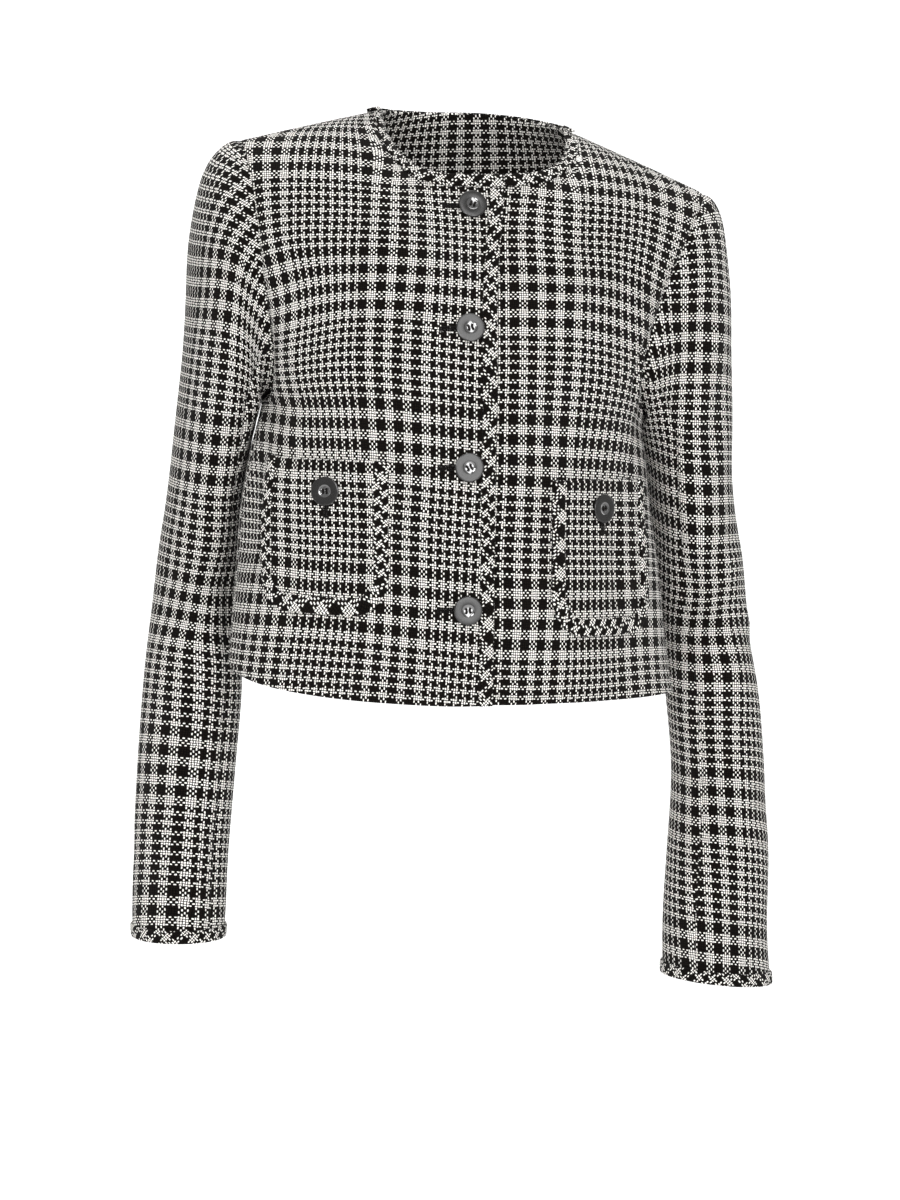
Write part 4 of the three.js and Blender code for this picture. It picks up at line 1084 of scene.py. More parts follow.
# ---- The lie of the check, then an operator for each piece or group of like pieces ----
# How far each panel's warp is turned from straight down, in degrees.
LAY = {
    "front_right": 3.5,
    "front_left": 0.5,
    "back": 2.0,
    "sleeve_right": 0.0,
    "sleeve_left": 0.0,
    "pocket_right": 3.5,
    "pocket_left": 0.5,
}
TIE_COLUMNS = ["x", "z", "ends", "picks"]  # a place, in mm, and the numbers of the threads that cross there
TIES = {
    "front_right": table(
        TIE_COLUMNS,
        [-174.1, -29.0, -50.6, -111.3],
        [-112.0, -20.1, -14.1, -119.1],
        [-72.2, -56.9, 12.3, -95.4],
        [-117.9, -74.9, -13.1, -81.4],
        [-9.3, -83.9, 49.8, -79.9],
        [-144.6, -101.9, -28.8, -65.2],
        [-161.5, -147.1, -50.3, -45.5],
        [-112.3, -164.6, -6.5, -27.3],
        [-128.8, -200.8, -18.3, -7.9],
        [-158.3, -220.7, -56.6, 2.9],
        [-146.7, -255.0, -35.4, 21.1],
        [-18.1, -280.6, 51.5, 29.1],
        [-179.8, -329.2, -74.4, 61.1],
        [-80.9, -316.1, 15.4, 51.8],
        [-173.2, -346.1, -56.5, 70.5],
        [-132.7, -379.9, -19.3, 87.9],
        [-166.4, -435.8, -38.8, 115.8],
        [-16.9, -434.5, 56.2, 109.7],
    ),
    "front_left": table(
        TIE_COLUMNS,
        [24.7, -59.6, 65.9, -98.0],
        [52.2, -59.6, 83.0, -100.2],
        [98.9, -31.3, 109.0, -128.4],
        [168.3, -58.6, 145.9, -114.5],
        [67.0, -95.9, 93.9, -78.8],
        [129.9, -95.9, 127.4, -82.9],
        [18.5, -122.9, 67.1, -60.2],
        [96.7, -132.3, 110.1, -57.6],
        [140.3, -132.6, 138.8, -66.8],
        [64.0, -159.0, 93.3, -39.1],
        [120.2, -206.0, 125.6, -19.3],
        [53.3, -276.3, 91.1, 23.9],
        [74.2, -268.0, 104.4, 18.6],
        [5.2, -347.3, 64.4, 62.3],
        [33.8, -375.4, 80.8, 76.0],
        [95.4, -406.4, 124.8, 90.8],
        [6.3, -438.6, 66.0, 109.4],
        [129.1, -437.2, 147.1, 107.2],
    ),
    "back": table(TIE_COLUMNS, [0.0, -240.0, 16, 10]),
    "sleeve_right": table(
        TIE_COLUMNS,
        [-209.3, -92.8, -2.9, -4.8],
        [-209.9, -120.2, 1.6, 9.0],
        [-202.0, -102.0, 12.1, -1.0],
        [-185.7, -138.2, 30.5, 15.9],
        [-202.3, -184.0, 20.2, 40.6],
        [-184.9, -192.9, 33.0, 43.2],
        [-210.1, -221.0, 15.9, 59.8],
        [-217.7, -277.1, 11.8, 88.8],
        [-200.5, -295.1, 28.0, 96.6],
        [-189.7, -333.3, 35.5, 115.3],
        [-234.3, -381.1, 6.2, 143.6],
        [-217.5, -408.0, 26.3, 156.7],
        [-188.8, -380.8, 42.4, 139.7],
        [-188.6, -418.5, 40.2, 159.5],
        [-227.0, -435.9, 22.1, 172.2],
        [-189.0, -446.5, 40.3, 174.3],
        [-258.6, -619.2, 12.7, 268.9],
        [-214.0, -617.6, 36.8, 267.7],
    ),
    "sleeve_left": table(
        TIE_COLUMNS,
        [178.5, -84.3, 17.3, -33.1],
        [188.8, -93.5, 23.5, -27.7],
        [166.5, -102.8, 8.9, -23.4],
        [145.6, -158.1, -3.5, 6.3],
        [165.5, -149.0, 8.5, 1.4],
        [199.4, -186.7, 30.2, 20.3],
        [159.3, -223.5, 3.5, 39.0],
        [203.6, -281.3, 29.7, 67.9],
        [206.2, -338.7, 29.1, 97.1],
        [178.8, -376.8, 6.2, 116.7],
        [195.8, -357.3, 21.8, 106.6],
        [197.7, -405.4, 23.3, 133.5],
        [217.5, -434.5, 31.1, 149.5],
        [189.3, -463.0, 14.9, 164.7],
        [239.2, -512.4, 48.7, 188.0],
        [181.7, -658.6, 9.8, 269.1],
        [233.4, -643.1, 44.3, 256.8],
        [209.5, -668.0, 27.5, 272.2],
    ),
    "pocket_right": table(
        TIE_COLUMNS,
        [-158.4, -284.2, -41.2, 36.4],
        [-149.8, -266.0, -34.7, 26.4],
        [-125.5, -265.1, -14.6, 25.6],
        [-100.3, -264.7, 4.0, 24.7],
        [-159.7, -338.0, -42.5, 65.7],
        [-100.7, -309.4, 3.0, 48.5],
        [-160.0, -356.0, -42.2, 75.4],
        [-143.4, -355.2, -27.4, 74.0],
        [-100.8, -354.3, 3.7, 72.2],
    ),
    "pocket_left": table(
        TIE_COLUMNS,
        [60.3, -283.1, 99.7, 26.5],
        [70.7, -283.6, 107.1, 26.4],
        [81.2, -329.6, 115.0, 50.5],
        [60.4, -355.8, 100.3, 65.0],
        [60.4, -374.0, 100.6, 74.5],
        [92.3, -376.1, 122.8, 74.9],
        [115.1, -378.1, 137.7, 75.3],
        [115.3, -350.5, 138.7, 60.1],
    ),
}


class JACKET_OT_body(bpy.types.Operator):
    """Lays tweed over both fronts and the back"""

    bl_idname = "jacket.body"
    bl_label = "Body"

    def execute(self, context):
        for node, face, side in (
            ("front_right", "front", "right"),
            ("front_left", "front", "left"),
            ("back", "back", None),
        ):
            points, outward, inward = body_grid(face, side)
            cut, threads = panel_lay(points, outward, node)
            cloth_piece(node, f"tweed_{node}", points, points - inward * size("cloth"), threads)
        return {"FINISHED"}


def sleeve_axis(side, w):
    """The way the sleeve runs at each ring, level with the ring below the cap at its top."""
    around = np.arange(16) / 16
    w = np.clip(w, 2.0, LAST_RING - 0.5)
    low, high = [sleeve_point(side, *np.meshgrid(around, w + d)).mean(1) for d in (0.5, -0.5)]
    return unit(low - high)


SLEEVE_SEAM = 0.7  # how much of a seam's usual depth a sleeve's long seams have


def sleeve_grid(side, columns, w):
    """Grid points of half a sleeve, with their outward normals and inward steps."""
    a, ww = np.meshgrid(columns / AROUND, w)
    points = sleeve_point(side, a, ww)
    outward = sleeve_normal(side, a, ww)
    inward = outward.copy()
    inward[0] = shared_inward(outward[0], at_armhole(body_normal, side, a[0]))
    across = distance_along(points, 1)
    sink = SLEEVE_SEAM * np.maximum(seam_groove(across), seam_groove(across[:, -1:] - across))
    from_top = np.linalg.norm(points - points[:1], axis=-1)
    sink = np.maximum(sink, armhole_groove(from_top, beside_armhole(a[0])[1][None]))
    return points - inward * sink[..., None], outward, inward


class JACKET_OT_sleeves(bpy.types.Operator):
    """Lays tweed over the upper and under half of each sleeve"""

    bl_idname = "jacket.sleeves"
    bl_label = "Sleeves"

    def execute(self, context):
        under = int(AROUND * UNDER_SHARE)
        first = AROUND // 2 - under // 2
        last = first + under
        halves = {"upper": np.arange(last, first + AROUND + 1), "under": np.arange(first, last + 1)}
        w = np.linspace(0, LAST_RING, LAST_RING * RING_STEPS + 1)
        for side in SIDES:
            down = sleeve_axis(side, w)[:, None]
            for half, columns in halves.items():
                grids = sleeve_grid(side, columns, w)
                if side == "right":  # so that ends are counted towards the wearer's left, as on the body
                    grids = [grid[:, ::-1] for grid in grids]
                points, outward, inward = grids
                cut, threads = panel_lay(points, outward, f"sleeve_{side}", down)
                node = f"sleeve_{half}_{side}"
                cloth_piece(node, f"tweed_{node}", points, points - inward * size("cloth"), threads)
        return {"FINISHED"}


# ---- Bands and pockets ----
NECK_BAND, EDGE_BAND, CUFF_BAND, POCKET_BAND = 9, 10, 9, 9
BAND_PROFILE = table(
    ["across", "rise"],  # share of the width, share of the thickness
    [0.0, 0.45],
    [0.05, 0.78],
    [0.15, 0.96],
    [0.5, 1.0],
    [0.85, 0.96],
    [0.95, 0.78],
    [1.0, 0.45],
)
REST = 0.25  # a sewn-on piece's back above the cloth
OVERHANG = 0.7  # how far a band laps over the edge that it binds
POCKET_WIDE, POCKET_HIGH, POCKET_CORNER = 100, 116, 24
POCKET_LIFT = 0.7
# The numbers of the end and the pick where a band's strip starts, and on the other bands.
BAND_STARTS = {"round_pocket_right": (28, 28), "round_pocket_left": (0, 0)}
BAND_START = (0, REPEAT / 2)
BAND_MARGIN = 3.0  # from the strip's edge to the overhang, in mm


def band(node, name, place, stations, width, lift, wrap=False):
    """A bias band. place gives points and normals at (station, distance across)."""
    far = BAND_PROFILE["across"] * (width + OVERHANG) - OVERHANG
    points, normals = place(stations, far)
    thick = size("band")
    inner = points + normals * (lift + REST)
    outer = inner + normals * (thick * BAND_PROFILE["rise"])[None, :, None]
    # Cut width: over the rounded face, with half of each turned edge.
    cut_width = float(distance_along(outer, 1)[:, -1].mean()) + thick * BAND_PROFILE["rise"][0]
    run = distance_along(np.concatenate([outer, outer[:1]]) if wrap else outer, 0).mean(1)
    s, c = np.meshgrid(run, far + BAND_MARGIN, indexing="ij")
    threads = np.stack([s + c, s - c], -1) / math.sqrt(2) / pitches() + BAND_STARTS.get(name, BAND_START)
    if wrap:
        outer, inner, threads = [np.swapaxes(grid, 0, 1) for grid in (outer, inner, threads)]
    cloth_piece(node, f"band_{name}", outer, inner, threads, "bias", wrap)


@functools.cache
def upper_samples():
    """Places spread over the upper body, each with its outward direction."""
    points, normals = [], []
    t, v = np.meshgrid(np.linspace(-0.75, 0.75, 401), np.linspace(0.8, 1, 61))
    for face in ("front", "back"):
        points.append(body_point(face, t, v).reshape(-1, 3))
        normals.append(body_normal(face, t, v).reshape(-1, 3))
    return np.concatenate(points), np.concatenate(normals)


def onto_body(p):
    """Points brought onto the nearest cloth of the upper body."""
    points, normals = upper_samples()
    out = []
    for part in p.reshape(-1, 1, 3):
        near = np.argmin(((part - points) ** 2).sum(-1))
        out.append(part[0] + normals[near] * ((points[near] - part[0]) @ normals[near]))
    return np.array(out).reshape(p.shape)


NECK_GAP = 1.5  # between the neck band's two ends
NECK_STATIONS, NECK_CROWDING = 44, 1.8  # on each quarter, closer together by the shoulder seam


def neck_line():
    """Faces and t along the neckline, from the front edge round the back to the left front."""
    start, stop = float(t_at([1.0], LAP)[0]), float(t_at([1.0], LAP + NECK_GAP)[0])
    closing = 1 - (1 - np.linspace(0, 1, NECK_STATIONS + 1)) ** NECK_CROWDING
    return [
        ("front", lerp(start, -NECK_SHARE, closing)),
        ("back", -NECK_SHARE * closing[::-1][1:]),
        ("back", NECK_SHARE * closing[1:-1]),
        ("front", lerp(stop, NECK_SHARE, closing)[::-1]),
    ]


def neck_place(parts, far):
    """Points and normals down from the neckline."""
    points, normals = [], []
    for face, t in parts:
        points.append(body_point(face, t, np.ones_like(t)))
        n = body_normal(face, t, np.ones_like(t))
        back = body_normal("back", t, np.ones_like(t))
        normals.append(np.where((np.abs(t) > NECK_SHARE - 1e-6)[:, None], unit(n + back), n))
    points, normals = np.concatenate(points), np.concatenate(normals)
    down = unit(np.cross(normals, np.gradient(points, axis=0)))
    grid = points[:, None] + down[:, None] * far[None, :, None]
    return onto_body(grid), np.repeat(normals[:, None], len(far), 1)


def edge_place(v, far):
    """Points and normals inward from the right front's edge."""
    t = np.stack([t_at(v, LAP - f) for f in far], 1)
    vs = np.repeat(v[:, None], len(far), 1)
    return body_point("front", t, vs), body_normal("front", t, vs)


def cuff_place(side, a, far):
    """Points and normals up from a cuff's edge."""
    last = np.full_like(a, LAST_RING)
    foot = sleeve_point(side, a, last)
    down = unit(foot - sleeve_point(side, a, last - 0.3))
    n = sleeve_normal(side, a, last)
    return foot[:, None] - down[:, None] * far[None, :, None], np.repeat(n[:, None], len(far), 1)


def front_place(x, z, side):
    """The t and v of the front's point with a given x and z."""
    t, v = (0.45 if side == "left" else -0.45), 0.25
    step = 1e-4
    for _ in range(PLACE_STEPS):
        p = body_point("front", t, v, False)
        across = (body_point("front", t + step, v, False) - p) / step
        up = (body_point("front", t, v + step, False) - p) / step
        move = np.linalg.solve(np.stack([across, up], 1)[[0, 2]], np.array([x - p[0], z - p[2]]))
        t, v = np.clip([t, v] + PLACE_SHARE * move, [-0.97, 0], [0.97, 1])
    return float(t), float(v)


WALK_STEP, WALK_END = 0.002, 0.982  # a step of t, and the t by the side seam where a walk stops


def walk(t, v, side, distance):
    """The t reached by going a distance along row v from t towards the side."""
    ts = t + end_of(side) * WALK_STEP * np.arange(round(1 / WALK_STEP))
    ts = ts[np.abs(ts) < WALK_END]
    line = body_point("front", ts, np.full_like(ts, v), False)
    return float(np.interp(distance, distance_along(line[None], 1)[0], ts))


def pocket_corners(side):
    """t and v of a pocket's inner and outer corner above, then below."""
    corners = []
    for level in ("top", "low"):
        t, v = front_place(*POCKETS[side][level], side)
        corners += [(t, v), (walk(t, v, side, POCKET_WIDE), v)]
    return np.array(corners)


def pocket_place(corners, across, down):
    """Points and normals of the front at places on a pocket, in mm from its inner upper corner."""
    s, d = (across / POCKET_WIDE)[..., None], (down / POCKET_HIGH)[..., None]
    tv = lerp(lerp(corners[0], corners[1], s), lerp(corners[2], corners[3], s), d)
    return body_point("front", tv[..., 0], tv[..., 1]), body_normal("front", tv[..., 0], tv[..., 1])


def pocket_path(steps=16):
    """Round the pocket from the top of its inner edge to the top of its outer edge: place and outward way."""
    straight = POCKET_HIGH - POCKET_CORNER
    half = [(0, straight * i / (2 * steps), -1, 0) for i in range(2 * steps)]
    for i in range(steps + 1):
        c, s = math.cos(i / steps * math.pi / 2), math.sin(i / steps * math.pi / 2)
        half.append((POCKET_CORNER * (1 - c), straight + POCKET_CORNER * s, -c, s))
    foot = np.linspace(POCKET_CORNER, POCKET_WIDE - POCKET_CORNER, steps + 1)[1:-1]
    other = [(POCKET_WIDE - x, y, -out, low) for x, y, out, low in half[::-1]]
    return np.array(half + [(x, POCKET_HIGH, 0, 1) for x in foot] + other, float)


def pocket_band_place(corners, path, far):
    """Points and normals inward from a pocket's edge."""
    x = path[:, 0:1] - path[:, 2:3] * far[None]
    y = path[:, 1:2] - path[:, 3:4] * far[None]
    return pocket_place(corners, x, y)


POCKET_ROWS, POCKET_COLUMNS, CORNER_ROWS = 28, 34, 12


class JACKET_OT_pockets(bpy.types.Operator):
    """Sews on both patch pockets and the bands round them"""

    bl_idname = "jacket.pockets"
    bl_label = "Pockets"

    def execute(self, context):
        corner = np.linspace(0, math.pi / 2, CORNER_ROWS + 1)[1:]
        straight = POCKET_HIGH - POCKET_CORNER
        down = np.append(np.linspace(0, straight, POCKET_ROWS), straight + POCKET_CORNER * np.sin(corner))
        inset = np.append(np.zeros(POCKET_ROWS), POCKET_CORNER * (1 - np.cos(corner)))
        share = np.linspace(0, 1, POCKET_COLUMNS)
        across = lerp(inset[:, None], POCKET_WIDE - inset[:, None], share[None])
        down = np.repeat(down[:, None], POCKET_COLUMNS, 1)
        front = POCKET_LIFT + size("cloth")
        for side in SIDES:
            corners = pocket_corners(side)
            points, normals = pocket_place(corners, across, down)
            if side == "right":
                points, normals = points[:, ::-1], normals[:, ::-1]
            outer = points + normals * front
            cut, threads = panel_lay(outer, normals, f"pocket_{side}")
            inner = points + normals * REST
            cloth_piece(f"pocket_{side}", f"tweed_pocket_{side}", outer, inner, threads)
            place = functools.partial(pocket_band_place, corners)
            band(f"band_pocket_{side}", f"round_pocket_{side}", place, pocket_path(), POCKET_BAND, front)
        return {"FINISHED"}


NECK_LIFT, EDGE_LIFT = 0.45, 0.2  # how far the bands clear the cloth below them
BODY_HIGH = 340  # mm of cloth from hem to neck at the front edge
EDGE_STATIONS, CUFF_STATIONS = 160, 96


class JACKET_OT_bands(bpy.types.Operator):
    """Sews the bias bands on the neckline, front edge and cuffs"""

    bl_idname = "jacket.bands"
    bl_label = "Bands"

    def execute(self, context):
        band("band_neck", "round_neck", neck_place, neck_line(), NECK_BAND, NECK_LIFT)
        top = 1 - (NECK_BAND + OVERHANG) / BODY_HIGH
        down = np.linspace(top, 0, EDGE_STATIONS)
        band("band_front_edge", "down_front", edge_place, down, EDGE_BAND, EDGE_LIFT)
        around = np.arange(CUFF_STATIONS) / CUFF_STATIONS
        for side in SIDES:
            place = functools.partial(cuff_place, side)
            band(f"band_cuff_{side}", f"round_cuff_{side}", place, around, CUFF_BAND, EDGE_LIFT, True)
        return {"FINISHED"}


# ---- Buttons ----
BUTTON_SECTION = table(
    ["radius", "height"],  # from the middle of the back, round the edge, to the middle of the eye
    [0.0, 0.0],
    [6.0, 0.0],
    [9.6, 0.15],
    [10.45, 0.6],
    [10.85, 1.2],
    [10.9, 1.7],
    [10.75, 2.15],
    [10.4, 2.38],
    [9.9, 2.44],
    [7.5, 2.42],
    [5.2, 2.4],
    [4.75, 2.34],
    [4.5, 2.16],
    [4.2, 2.02],
    [3.4, 1.93],
    [2.0, 1.9],
    [0.0, 1.89],
)
BUTTON_SIDES, HOLE_SIDES = 64, 20
EYE_R = 4.7
HOLE_R, HOLE_AT = 0.85, 1.35  # the thread holes, and how far they are from the middle each way
HOLES = [(x, y) for x in (-HOLE_AT, HOLE_AT) for y in (-HOLE_AT, HOLE_AT)]
FRONT_LIFT, POCKET_BUTTON_LIFT = 3.0, 3.4  # a button's back above its front's outer face
SPINS = {"front": (-0.35, 0.2, 0.45, 0.1), "pocket": (0.1, 0.1)}  # how far each is turned, in radians


def centre_front(off, z):
    """The t and v of a place by the centre front."""
    lo, hi = 0.0, 1.0
    for _ in range(HALVINGS):
        mid = (lo + hi) / 2
        if body_point("front", 0.0, mid, False)[2] < z:
            lo = mid
        else:
            hi = mid
    return float(t_at([lo], off)[0]), lo


def turned_mesh(name, section, sides, material):
    """A mesh turned about z, from the middle of its back to the middle of its face."""
    r, h = section["radius"], section["height"]
    angle = 2 * np.pi * np.arange(sides) / sides
    points = [(0, 0, h[0])]
    for k in range(1, len(r) - 1):
        points += [(r[k] * math.cos(a), r[k] * math.sin(a), h[k]) for a in angle]
    points.append((0, 0, h[-1]))
    starts = 1 + sides * np.arange(len(r) - 2)
    faces = []
    for j in range(sides):
        k = (j + 1) % sides
        faces.append((0, 1 + k, 1 + j))
        faces += [(a + j, a + k, b + k, b + j) for a, b in zip(starts, starts[1:])]
        faces.append((starts[-1] + j, starts[-1] + k, len(points) - 1))
    return mesh_object(name, np.array(points) * MM, faces, material)


def drilled(button):
    """Four thread holes through a button."""
    section = table(["radius", "height"], [0, -1], [HOLE_R, -1], [HOLE_R, 4], [0, 4])
    for x, y in HOLES:
        drill = turned_mesh("drill", section, HOLE_SIDES, button.data.materials[0])
        drill.data.transform(Matrix.Translation((x * MM, y * MM, 0)))
        cut = button.modifiers.new("hole", "BOOLEAN")
        cut.operation, cut.solver, cut.object = "DIFFERENCE", "EXACT", drill
        applied(button)
        bpy.data.objects.remove(drill)
    return button


def applied(piece):
    """The piece with its modifiers worked into its mesh."""
    bpy.context.view_layer.update()
    seen = piece.evaluated_get(bpy.context.evaluated_depsgraph_get())
    mesh = bpy.data.meshes.new_from_object(seen)
    piece.modifiers.clear()
    old, piece.data = piece.data, mesh
    bpy.data.meshes.remove(old)


def tube(path, radius, sides):
    """Points and faces of a closed tube along a path of points."""
    path = np.asarray(path, float)
    ahead = unit(np.gradient(path, axis=0))
    side = unit(np.cross(ahead, np.array([0.3, 0.2, 1.0])))
    over = np.cross(side, ahead)
    angle = (2 * np.pi * np.arange(sides) / sides)[:, None]
    ring = path[:, None] + radius * (side[:, None] * np.cos(angle) + over[:, None] * np.sin(angle))
    points = np.concatenate([ring.reshape(-1, 3), path[:1], path[-1:]])
    end = (len(path) - 1) * sides
    faces = []
    for j in range(sides):
        k = (j + 1) % sides
        faces += [(i + j, i + sides + j, i + sides + k, i + k) for i in range(0, end, sides)]
        faces += [(end + sides, j, k), (end + sides + 1, end + k, end + j)]
    return points, faces


def joined(parts):
    """Points and faces of several tubes as one."""
    points, faces, base = [], [], 0
    for p, f in parts:
        points.append(p)
        faces += [tuple(i + base for i in face) for face in f]
        base += len(p)
    return np.concatenate(points), faces


def axes_on(normal, spin=0.0):
    """Directions with z on a normal and x kept level, then turned."""
    z = unit(normal)
    x = unit(np.cross(-STRAIGHT_DOWN, z))
    y = np.cross(z, x)
    c, s = math.cos(spin), math.sin(spin)
    return np.stack([x * c + y * s, y * c - x * s, z], 1)


THREAD_SIDES = 8
BAR_STEPS, BAR_R = 15, 0.3
BAR_THREADS = (-0.42, 0, 0.42)  # where a bar's threads lie, from the middle of its holes
BAR_PAST = 0.25  # how far a bar reaches past the middle of its holes
BAR_FOOT, BAR_RISE = 1.75, 0.75  # height of a bar's ends, and how much higher its middle is
STRAND_R = 0.5
# At the button's face, below the button, and at the cloth, from which the last height is counted.
STRAND_APART, STRAND_HEIGHT = (1.3, 0.91, 0.65), (1.9, -0.6, 0.5)


def button_thread(lift):
    """Two bars of three threads over a button's face, and four strands down through it to the cloth."""
    parts = []
    s = np.linspace(-1, 1, BAR_STEPS)
    rise = BAR_FOOT + BAR_RISE * np.cos(s * np.pi / 2) ** 0.6
    for x in (-HOLE_AT, HOLE_AT):
        for beside in BAR_THREADS:
            line = np.stack([np.full(BAR_STEPS, x + beside), s * (HOLE_AT + BAR_PAST), rise], -1)
            parts.append(tube(line, BAR_R, THREAD_SIDES))
    heights = (*STRAND_HEIGHT[:2], STRAND_HEIGHT[2] - lift)
    for x in (-1, 1):
        for y in (-1, 1):
            line = [(x * apart, y * apart, z) for apart, z in zip(STRAND_APART, heights)]
            parts.append(tube(line, STRAND_R, THREAD_SIDES))
    return joined(parts)


def button_places():
    """Each button's name, with its t, v, lift and spin."""
    places = {}
    for off, z, spin in zip(FRONT_BUTTONS["off"], FRONT_BUTTONS["z"], SPINS["front"]):
        places[f"front_{len(places) + 1}"] = (*centre_front(off, z), FRONT_LIFT, spin)
    for side, spin in zip(SIDES, SPINS["pocket"]):
        places[f"pocket_{side}"] = (*front_place(*POCKET_BUTTONS[side], side), POCKET_BUTTON_LIFT, spin)
    return places


class JACKET_OT_buttons(bpy.types.Operator):
    """Sews on the four front buttons and the two pocket buttons"""

    bl_idname = "jacket.buttons"
    bl_label = "Buttons"

    def execute(self, context):
        look = context.scene.jacket_colours
        finish = finish_of("polyester_resin_turned_satin", resin, look.button)
        eye = finish_of("polyester_resin_lacquered_and_buffed", lacquer, look.button)
        scale = size("button") / BUTTON_SECTION["radius"].max()
        section = {"radius": BUTTON_SECTION["radius"] * scale, "height": BUTTON_SECTION["height"]}
        for name, (t, v, lift, spin) in button_places().items():
            # The normal of the plain cloth, as the solid button has it.
            p, n = body_point("front", t, v, False), body_normal("front", t, v, False)
            axes = axes_on(n, spin)
            button = drilled(turned_mesh(f"resin_button_{name}", section, BUTTON_SIDES, finish))
            button.data.materials.append(eye)
            for polygon in button.data.polygons:
                polygon.use_smooth = True
                in_eye = polygon.center.to_2d().length < EYE_R * scale * MM
                polygon.material_index = int(in_eye and polygon.normal.z > 0.3)
            turn = Matrix(axes.tolist()).to_4x4()
            turn.translation = Vector((p + n * lift) * MM)
            button.data.transform(turn)
            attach(button, "root")
            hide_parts(f"button_{name}")
            points, faces = button_thread(lift)
            new_piece(f"thread_of_button_{name}", points @ axes.T + (p + n * lift), faces, black_thread())
        return {"FINISHED"}


HOLE_FROM = -3.0  # where a buttonhole starts, from the button's centre
FRONT_HOLE_END, POCKET_HOLE_END = 23.0, 19.5
STITCH_PITCH = 0.65
STITCH_LIFT = 0.12  # the stitches' feet above the cloth
# A stitch from beside the slit to its outer end, and a bar tack across the slit's end.
STITCH = table(["reach", "rise"], [0.15, 0.05], [0.5, 0.42], [1.2, 0.5], [1.75, 0.36], [1.95, 0.0])
TACK_HALF, TACK_PITCH, TACK_RISE, TACK_SWELL = 2.2, 0.5, 0.5, 2.3
STITCH_R, TACK_R, SLIT_R = 0.3, 0.32, 0.28
STITCH_SIDES = 6
SLIT_LIFT = 0.02  # the thread laid in the slit, above the stitches' feet
HOLE_MARKS = 9  # places along the hole where the cloth is looked up
NEAR_STEPS = 6  # how often a search for the nearest cloth steps


def on_cloth(target, t, v):
    """The point and normal of the front nearest a place, looked for from t, v."""
    for _ in range(NEAR_STEPS):
        here = body_point("front", t, v)
        across = (body_point("front", t + SLOPE_STEP, v) - here) / SLOPE_STEP
        up = (body_point("front", t, v + SLOPE_STEP) - here) / SLOPE_STEP
        slopes = np.stack([across, up])
        move = np.linalg.solve(slopes @ slopes.T, slopes @ (target - here))
        t, v = t + move[0], v + move[1]
    return body_point("front", t, v), body_normal("front", t, v)


def stitched_hole(name, t, v, way, lift, end):
    """A slit bound with close stitches, running from the button the given way to its end."""
    p, n = body_point("front", t, v), body_normal("front", t, v)
    right, up, _ = axes_on(n).T
    run = unit(right * way[0] + up * way[1])
    side = np.cross(n, run)
    marks = np.linspace(HOLE_FROM, end, HOLE_MARKS)
    line = np.array([on_cloth(p + run * s, t, v) for s in marks])

    def at(s, c, h):
        """The point s along the hole, c to its side and h above the cloth."""
        spot, normal = [np.array([np.interp(s, marks, line[:, k, i]) for i in range(3)]) for k in (0, 1)]
        return spot + side * c + unit(normal) * h

    parts = []
    for edge in (-1, 1):
        for s in np.arange(HOLE_FROM, end, STITCH_PITCH):
            path = [at(s, edge * c, lift + h) for c, h in zip(STITCH["reach"], STITCH["rise"])]
            parts.append(tube(path, STITCH_R, STITCH_SIDES))
    across = np.linspace(-TACK_HALF, TACK_HALF, 9)
    rises = lift + TACK_RISE * np.cos(across / TACK_SWELL * math.pi / 2)
    for s in (HOLE_FROM, end):
        for k in (-1, 0, 1):
            path = [at(s + k * TACK_PITCH, c, rise) for c, rise in zip(across, rises)]
            parts.append(tube(path, TACK_R, STITCH_SIDES))
    slit = [at(s, 0, lift + SLIT_LIFT) for s in np.linspace(HOLE_FROM, end, 17)]
    parts.append(tube(slit, SLIT_R, THREAD_SIDES))
    points, faces = joined(parts)
    new_piece(f"buttonhole_{name}", points, faces, black_thread())


class JACKET_OT_buttonholes(bpy.types.Operator):
    """Stitches the buttonholes of the front and the pockets"""

    bl_idname = "jacket.buttonholes"
    bl_label = "Buttonholes"

    def execute(self, context):
        on_pocket = POCKET_LIFT + size("cloth")
        for name, (t, v, _, _) in button_places().items():
            if name.startswith("front"):
                stitched_hole(name, t, v, (-1, 0), STITCH_LIFT, FRONT_HOLE_END)
            else:
                stitched_hole(name, t, v, (0, -1), on_pocket + STITCH_LIFT, POCKET_HOLE_END)
        return {"FINISHED"}


# ---- Stage, in metres ----
FLOOR_Z, WALL_Y, WALL_TOP, BEND = -1.32, 4.2, 8.0, 1.6
FLOOR_REACH = 30.0
MIDDLE = (0, 0, -0.3)
# Each lamp's place, aim, width, height and power in watts.
LAMPS = {
    "key": ((-1.2, -3.9, 0.9), MIDDLE, 1.5, 1.5, 90),
    # Tall and level with the jacket, so that each front button's face is turned to some of it.
    "front_strip": ((0.75, -4.2, 1.8), (0.75, 0, 1.8), 1.1, 6.2, 100),
    "side_right": ((-3.0, 1.0, 0.2), MIDDLE, 1.4, 2.6, 21),
    "side_left": ((3.0, 1.0, 0.2), MIDDLE, 1.4, 2.6, 23),
    "top": ((0.2, 0.3, 2.4), MIDDLE, 1.6, 1.6, 10),
    "backdrop_light": ((0, 1.2, 2.6), (0, 4.2, -0.4), 3.0, 3.0, 120),
}
WORLD_STRENGTH = 0.5
CAMERA = {"azimuth": -10, "elevation": 5, "distance": 3.2, "target": (-0.0149, 0.0, -0.3775)}
SEEN_HEIGHT = 0.936  # height of the view at the camera's target
SENSOR_HEIGHT = 24


def placed(name, data, place, way):
    """An object that stands at a place and looks the given way."""
    made = bpy.data.objects.new(name, data)
    made.location = place
    made.rotation_euler = Vector(way).to_track_quat("-Z", "Y").to_euler()
    bpy.context.scene.collection.objects.link(made)
    return made


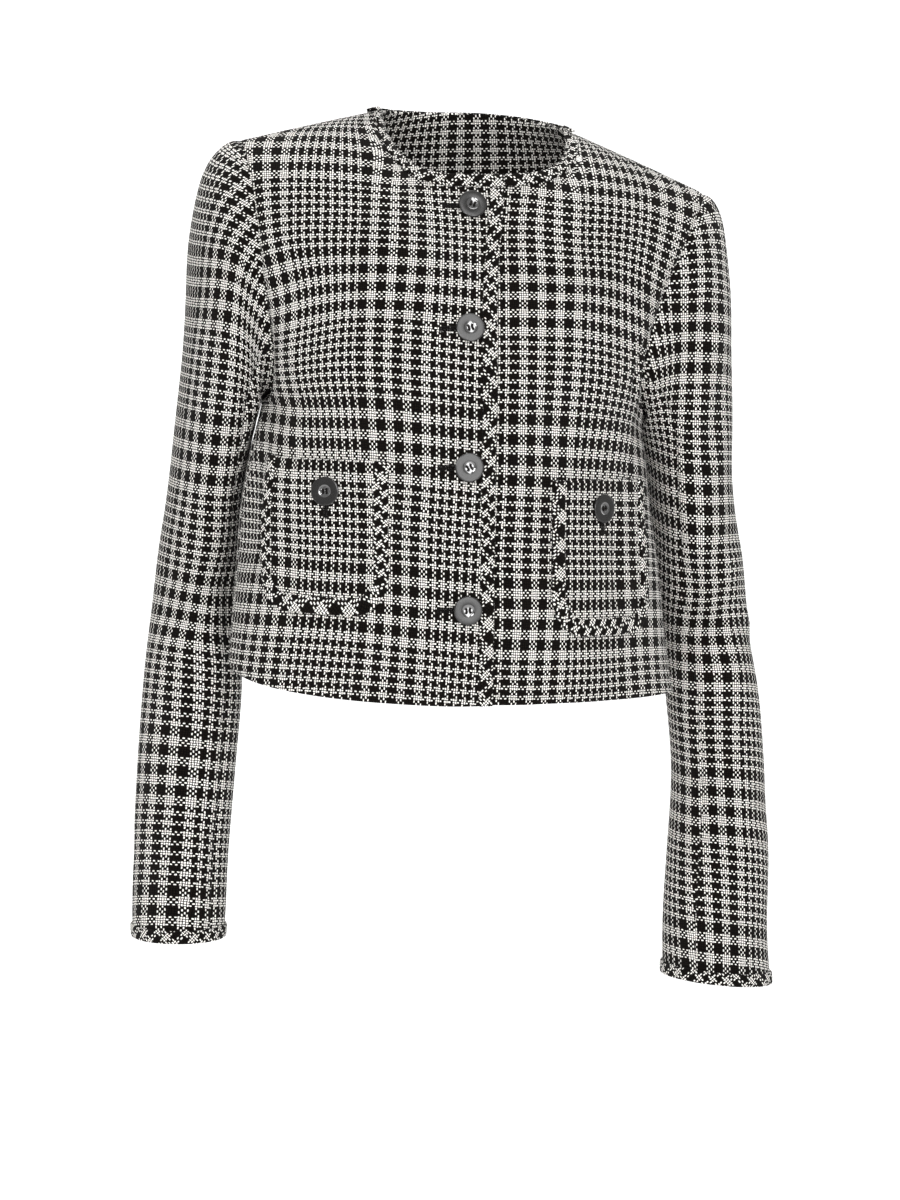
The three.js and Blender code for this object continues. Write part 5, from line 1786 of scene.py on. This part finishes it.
def paper_sweep(material):
    """A floor that bends up into a wall behind the jacket."""
    x = np.linspace(-FLOOR_REACH, FLOOR_REACH, 25)
    foot = WALL_Y - BEND
    line = [(-FLOOR_REACH, FLOOR_Z), (-8.0, FLOOR_Z), (-2.0, FLOOR_Z), (foot, FLOOR_Z)]
    for a in np.linspace(0, math.pi / 2, 17)[1:]:
        line.append((foot + BEND * math.sin(a), FLOOR_Z + BEND * (1 - math.cos(a))))
    line += [(WALL_Y, WALL_TOP / 2), (WALL_Y, WALL_TOP)]
    points = [(u, y, z) for y, z in line for u in x]
    return mesh_object("floor", points, quads(np.arange(len(points)).reshape(len(line), len(x))), material)


class JACKET_OT_stage(bpy.types.Operator):
    """Sets the floor, the light and the camera"""

    bl_idname = "jacket.stage"
    bl_label = "Stage"

    def execute(self, context):
        scene = context.scene
        paper = finish_of("paper_backdrop_matt", backdrop, scene.jacket_colours.floor)
        paper_sweep(paper)
        for name, (place, aim, wide, high, power) in LAMPS.items():
            light = bpy.data.lights.new(name, "AREA")
            light.shape, light.size, light.size_y, light.energy = "RECTANGLE", wide, high, power
            placed(name, light, place, Vector(aim) - Vector(place))
        world = bpy.data.worlds.new("studio")
        world.use_nodes = True
        background = world.node_tree.nodes["Background"].inputs
        background["Color"].default_value = (1, 1, 1, 1)
        background["Strength"].default_value = WORLD_STRENGTH
        scene.world = world
        scene.view_settings.view_transform = "Standard"

        azimuth, elevation = math.radians(CAMERA["azimuth"]), math.radians(CAMERA["elevation"])
        level = math.cos(elevation)
        back_way = Vector((math.sin(azimuth) * level, -math.cos(azimuth) * level, math.sin(elevation)))
        camera = bpy.data.cameras.new("camera")
        camera.sensor_fit = "VERTICAL"
        camera.sensor_height = SENSOR_HEIGHT
        camera.lens = SENSOR_HEIGHT * CAMERA["distance"] / SEEN_HEIGHT
        place = Vector(CAMERA["target"]) + back_way * CAMERA["distance"]
        scene.camera = placed("camera", camera, place, -back_way)
        return {"FINISHED"}


class JACKET_PT_sidebar(bpy.types.Panel):
    """Lists the jacket's sizes, colours and pieces"""

    bl_label = "Jacket"
    bl_idname = "JACKET_PT_sidebar"
    bl_space_type = "VIEW_3D"
    bl_region_type = "UI"
    bl_category = "Jacket"

    def draw(self, context):
        for group in (context.scene.jacket_sizes, context.scene.jacket_colours):
            for name in group.bl_rna.properties.keys():
                if name not in ("rna_type", "name"):
                    self.layout.prop(group, name)
        for operator in OPERATORS:
            self.layout.operator(operator.bl_idname)


OPERATORS = (
    JACKET_OT_stage,
    JACKET_OT_body,
    JACKET_OT_sleeves,
    JACKET_OT_pockets,
    JACKET_OT_bands,
    JACKET_OT_buttons,
    JACKET_OT_buttonholes,
)
CLASSES = (JacketSizes, JacketColours, *OPERATORS, JACKET_PT_sidebar)


def register():
    for made in CLASSES:
        bpy.utils.register_class(made)
    bpy.types.Scene.jacket_sizes = bpy.props.PointerProperty(type=JacketSizes)
    bpy.types.Scene.jacket_colours = bpy.props.PointerProperty(type=JacketColours)


def unregister():
    del bpy.types.Scene.jacket_colours
    del bpy.types.Scene.jacket_sizes
    for made in reversed(CLASSES):
        bpy.utils.unregister_class(made)


def main():
    register()
    for operator in OPERATORS:
        family, name = operator.bl_idname.split(".")
        getattr(getattr(bpy.ops, family), name)()


if __name__ == "__main__":
    main()
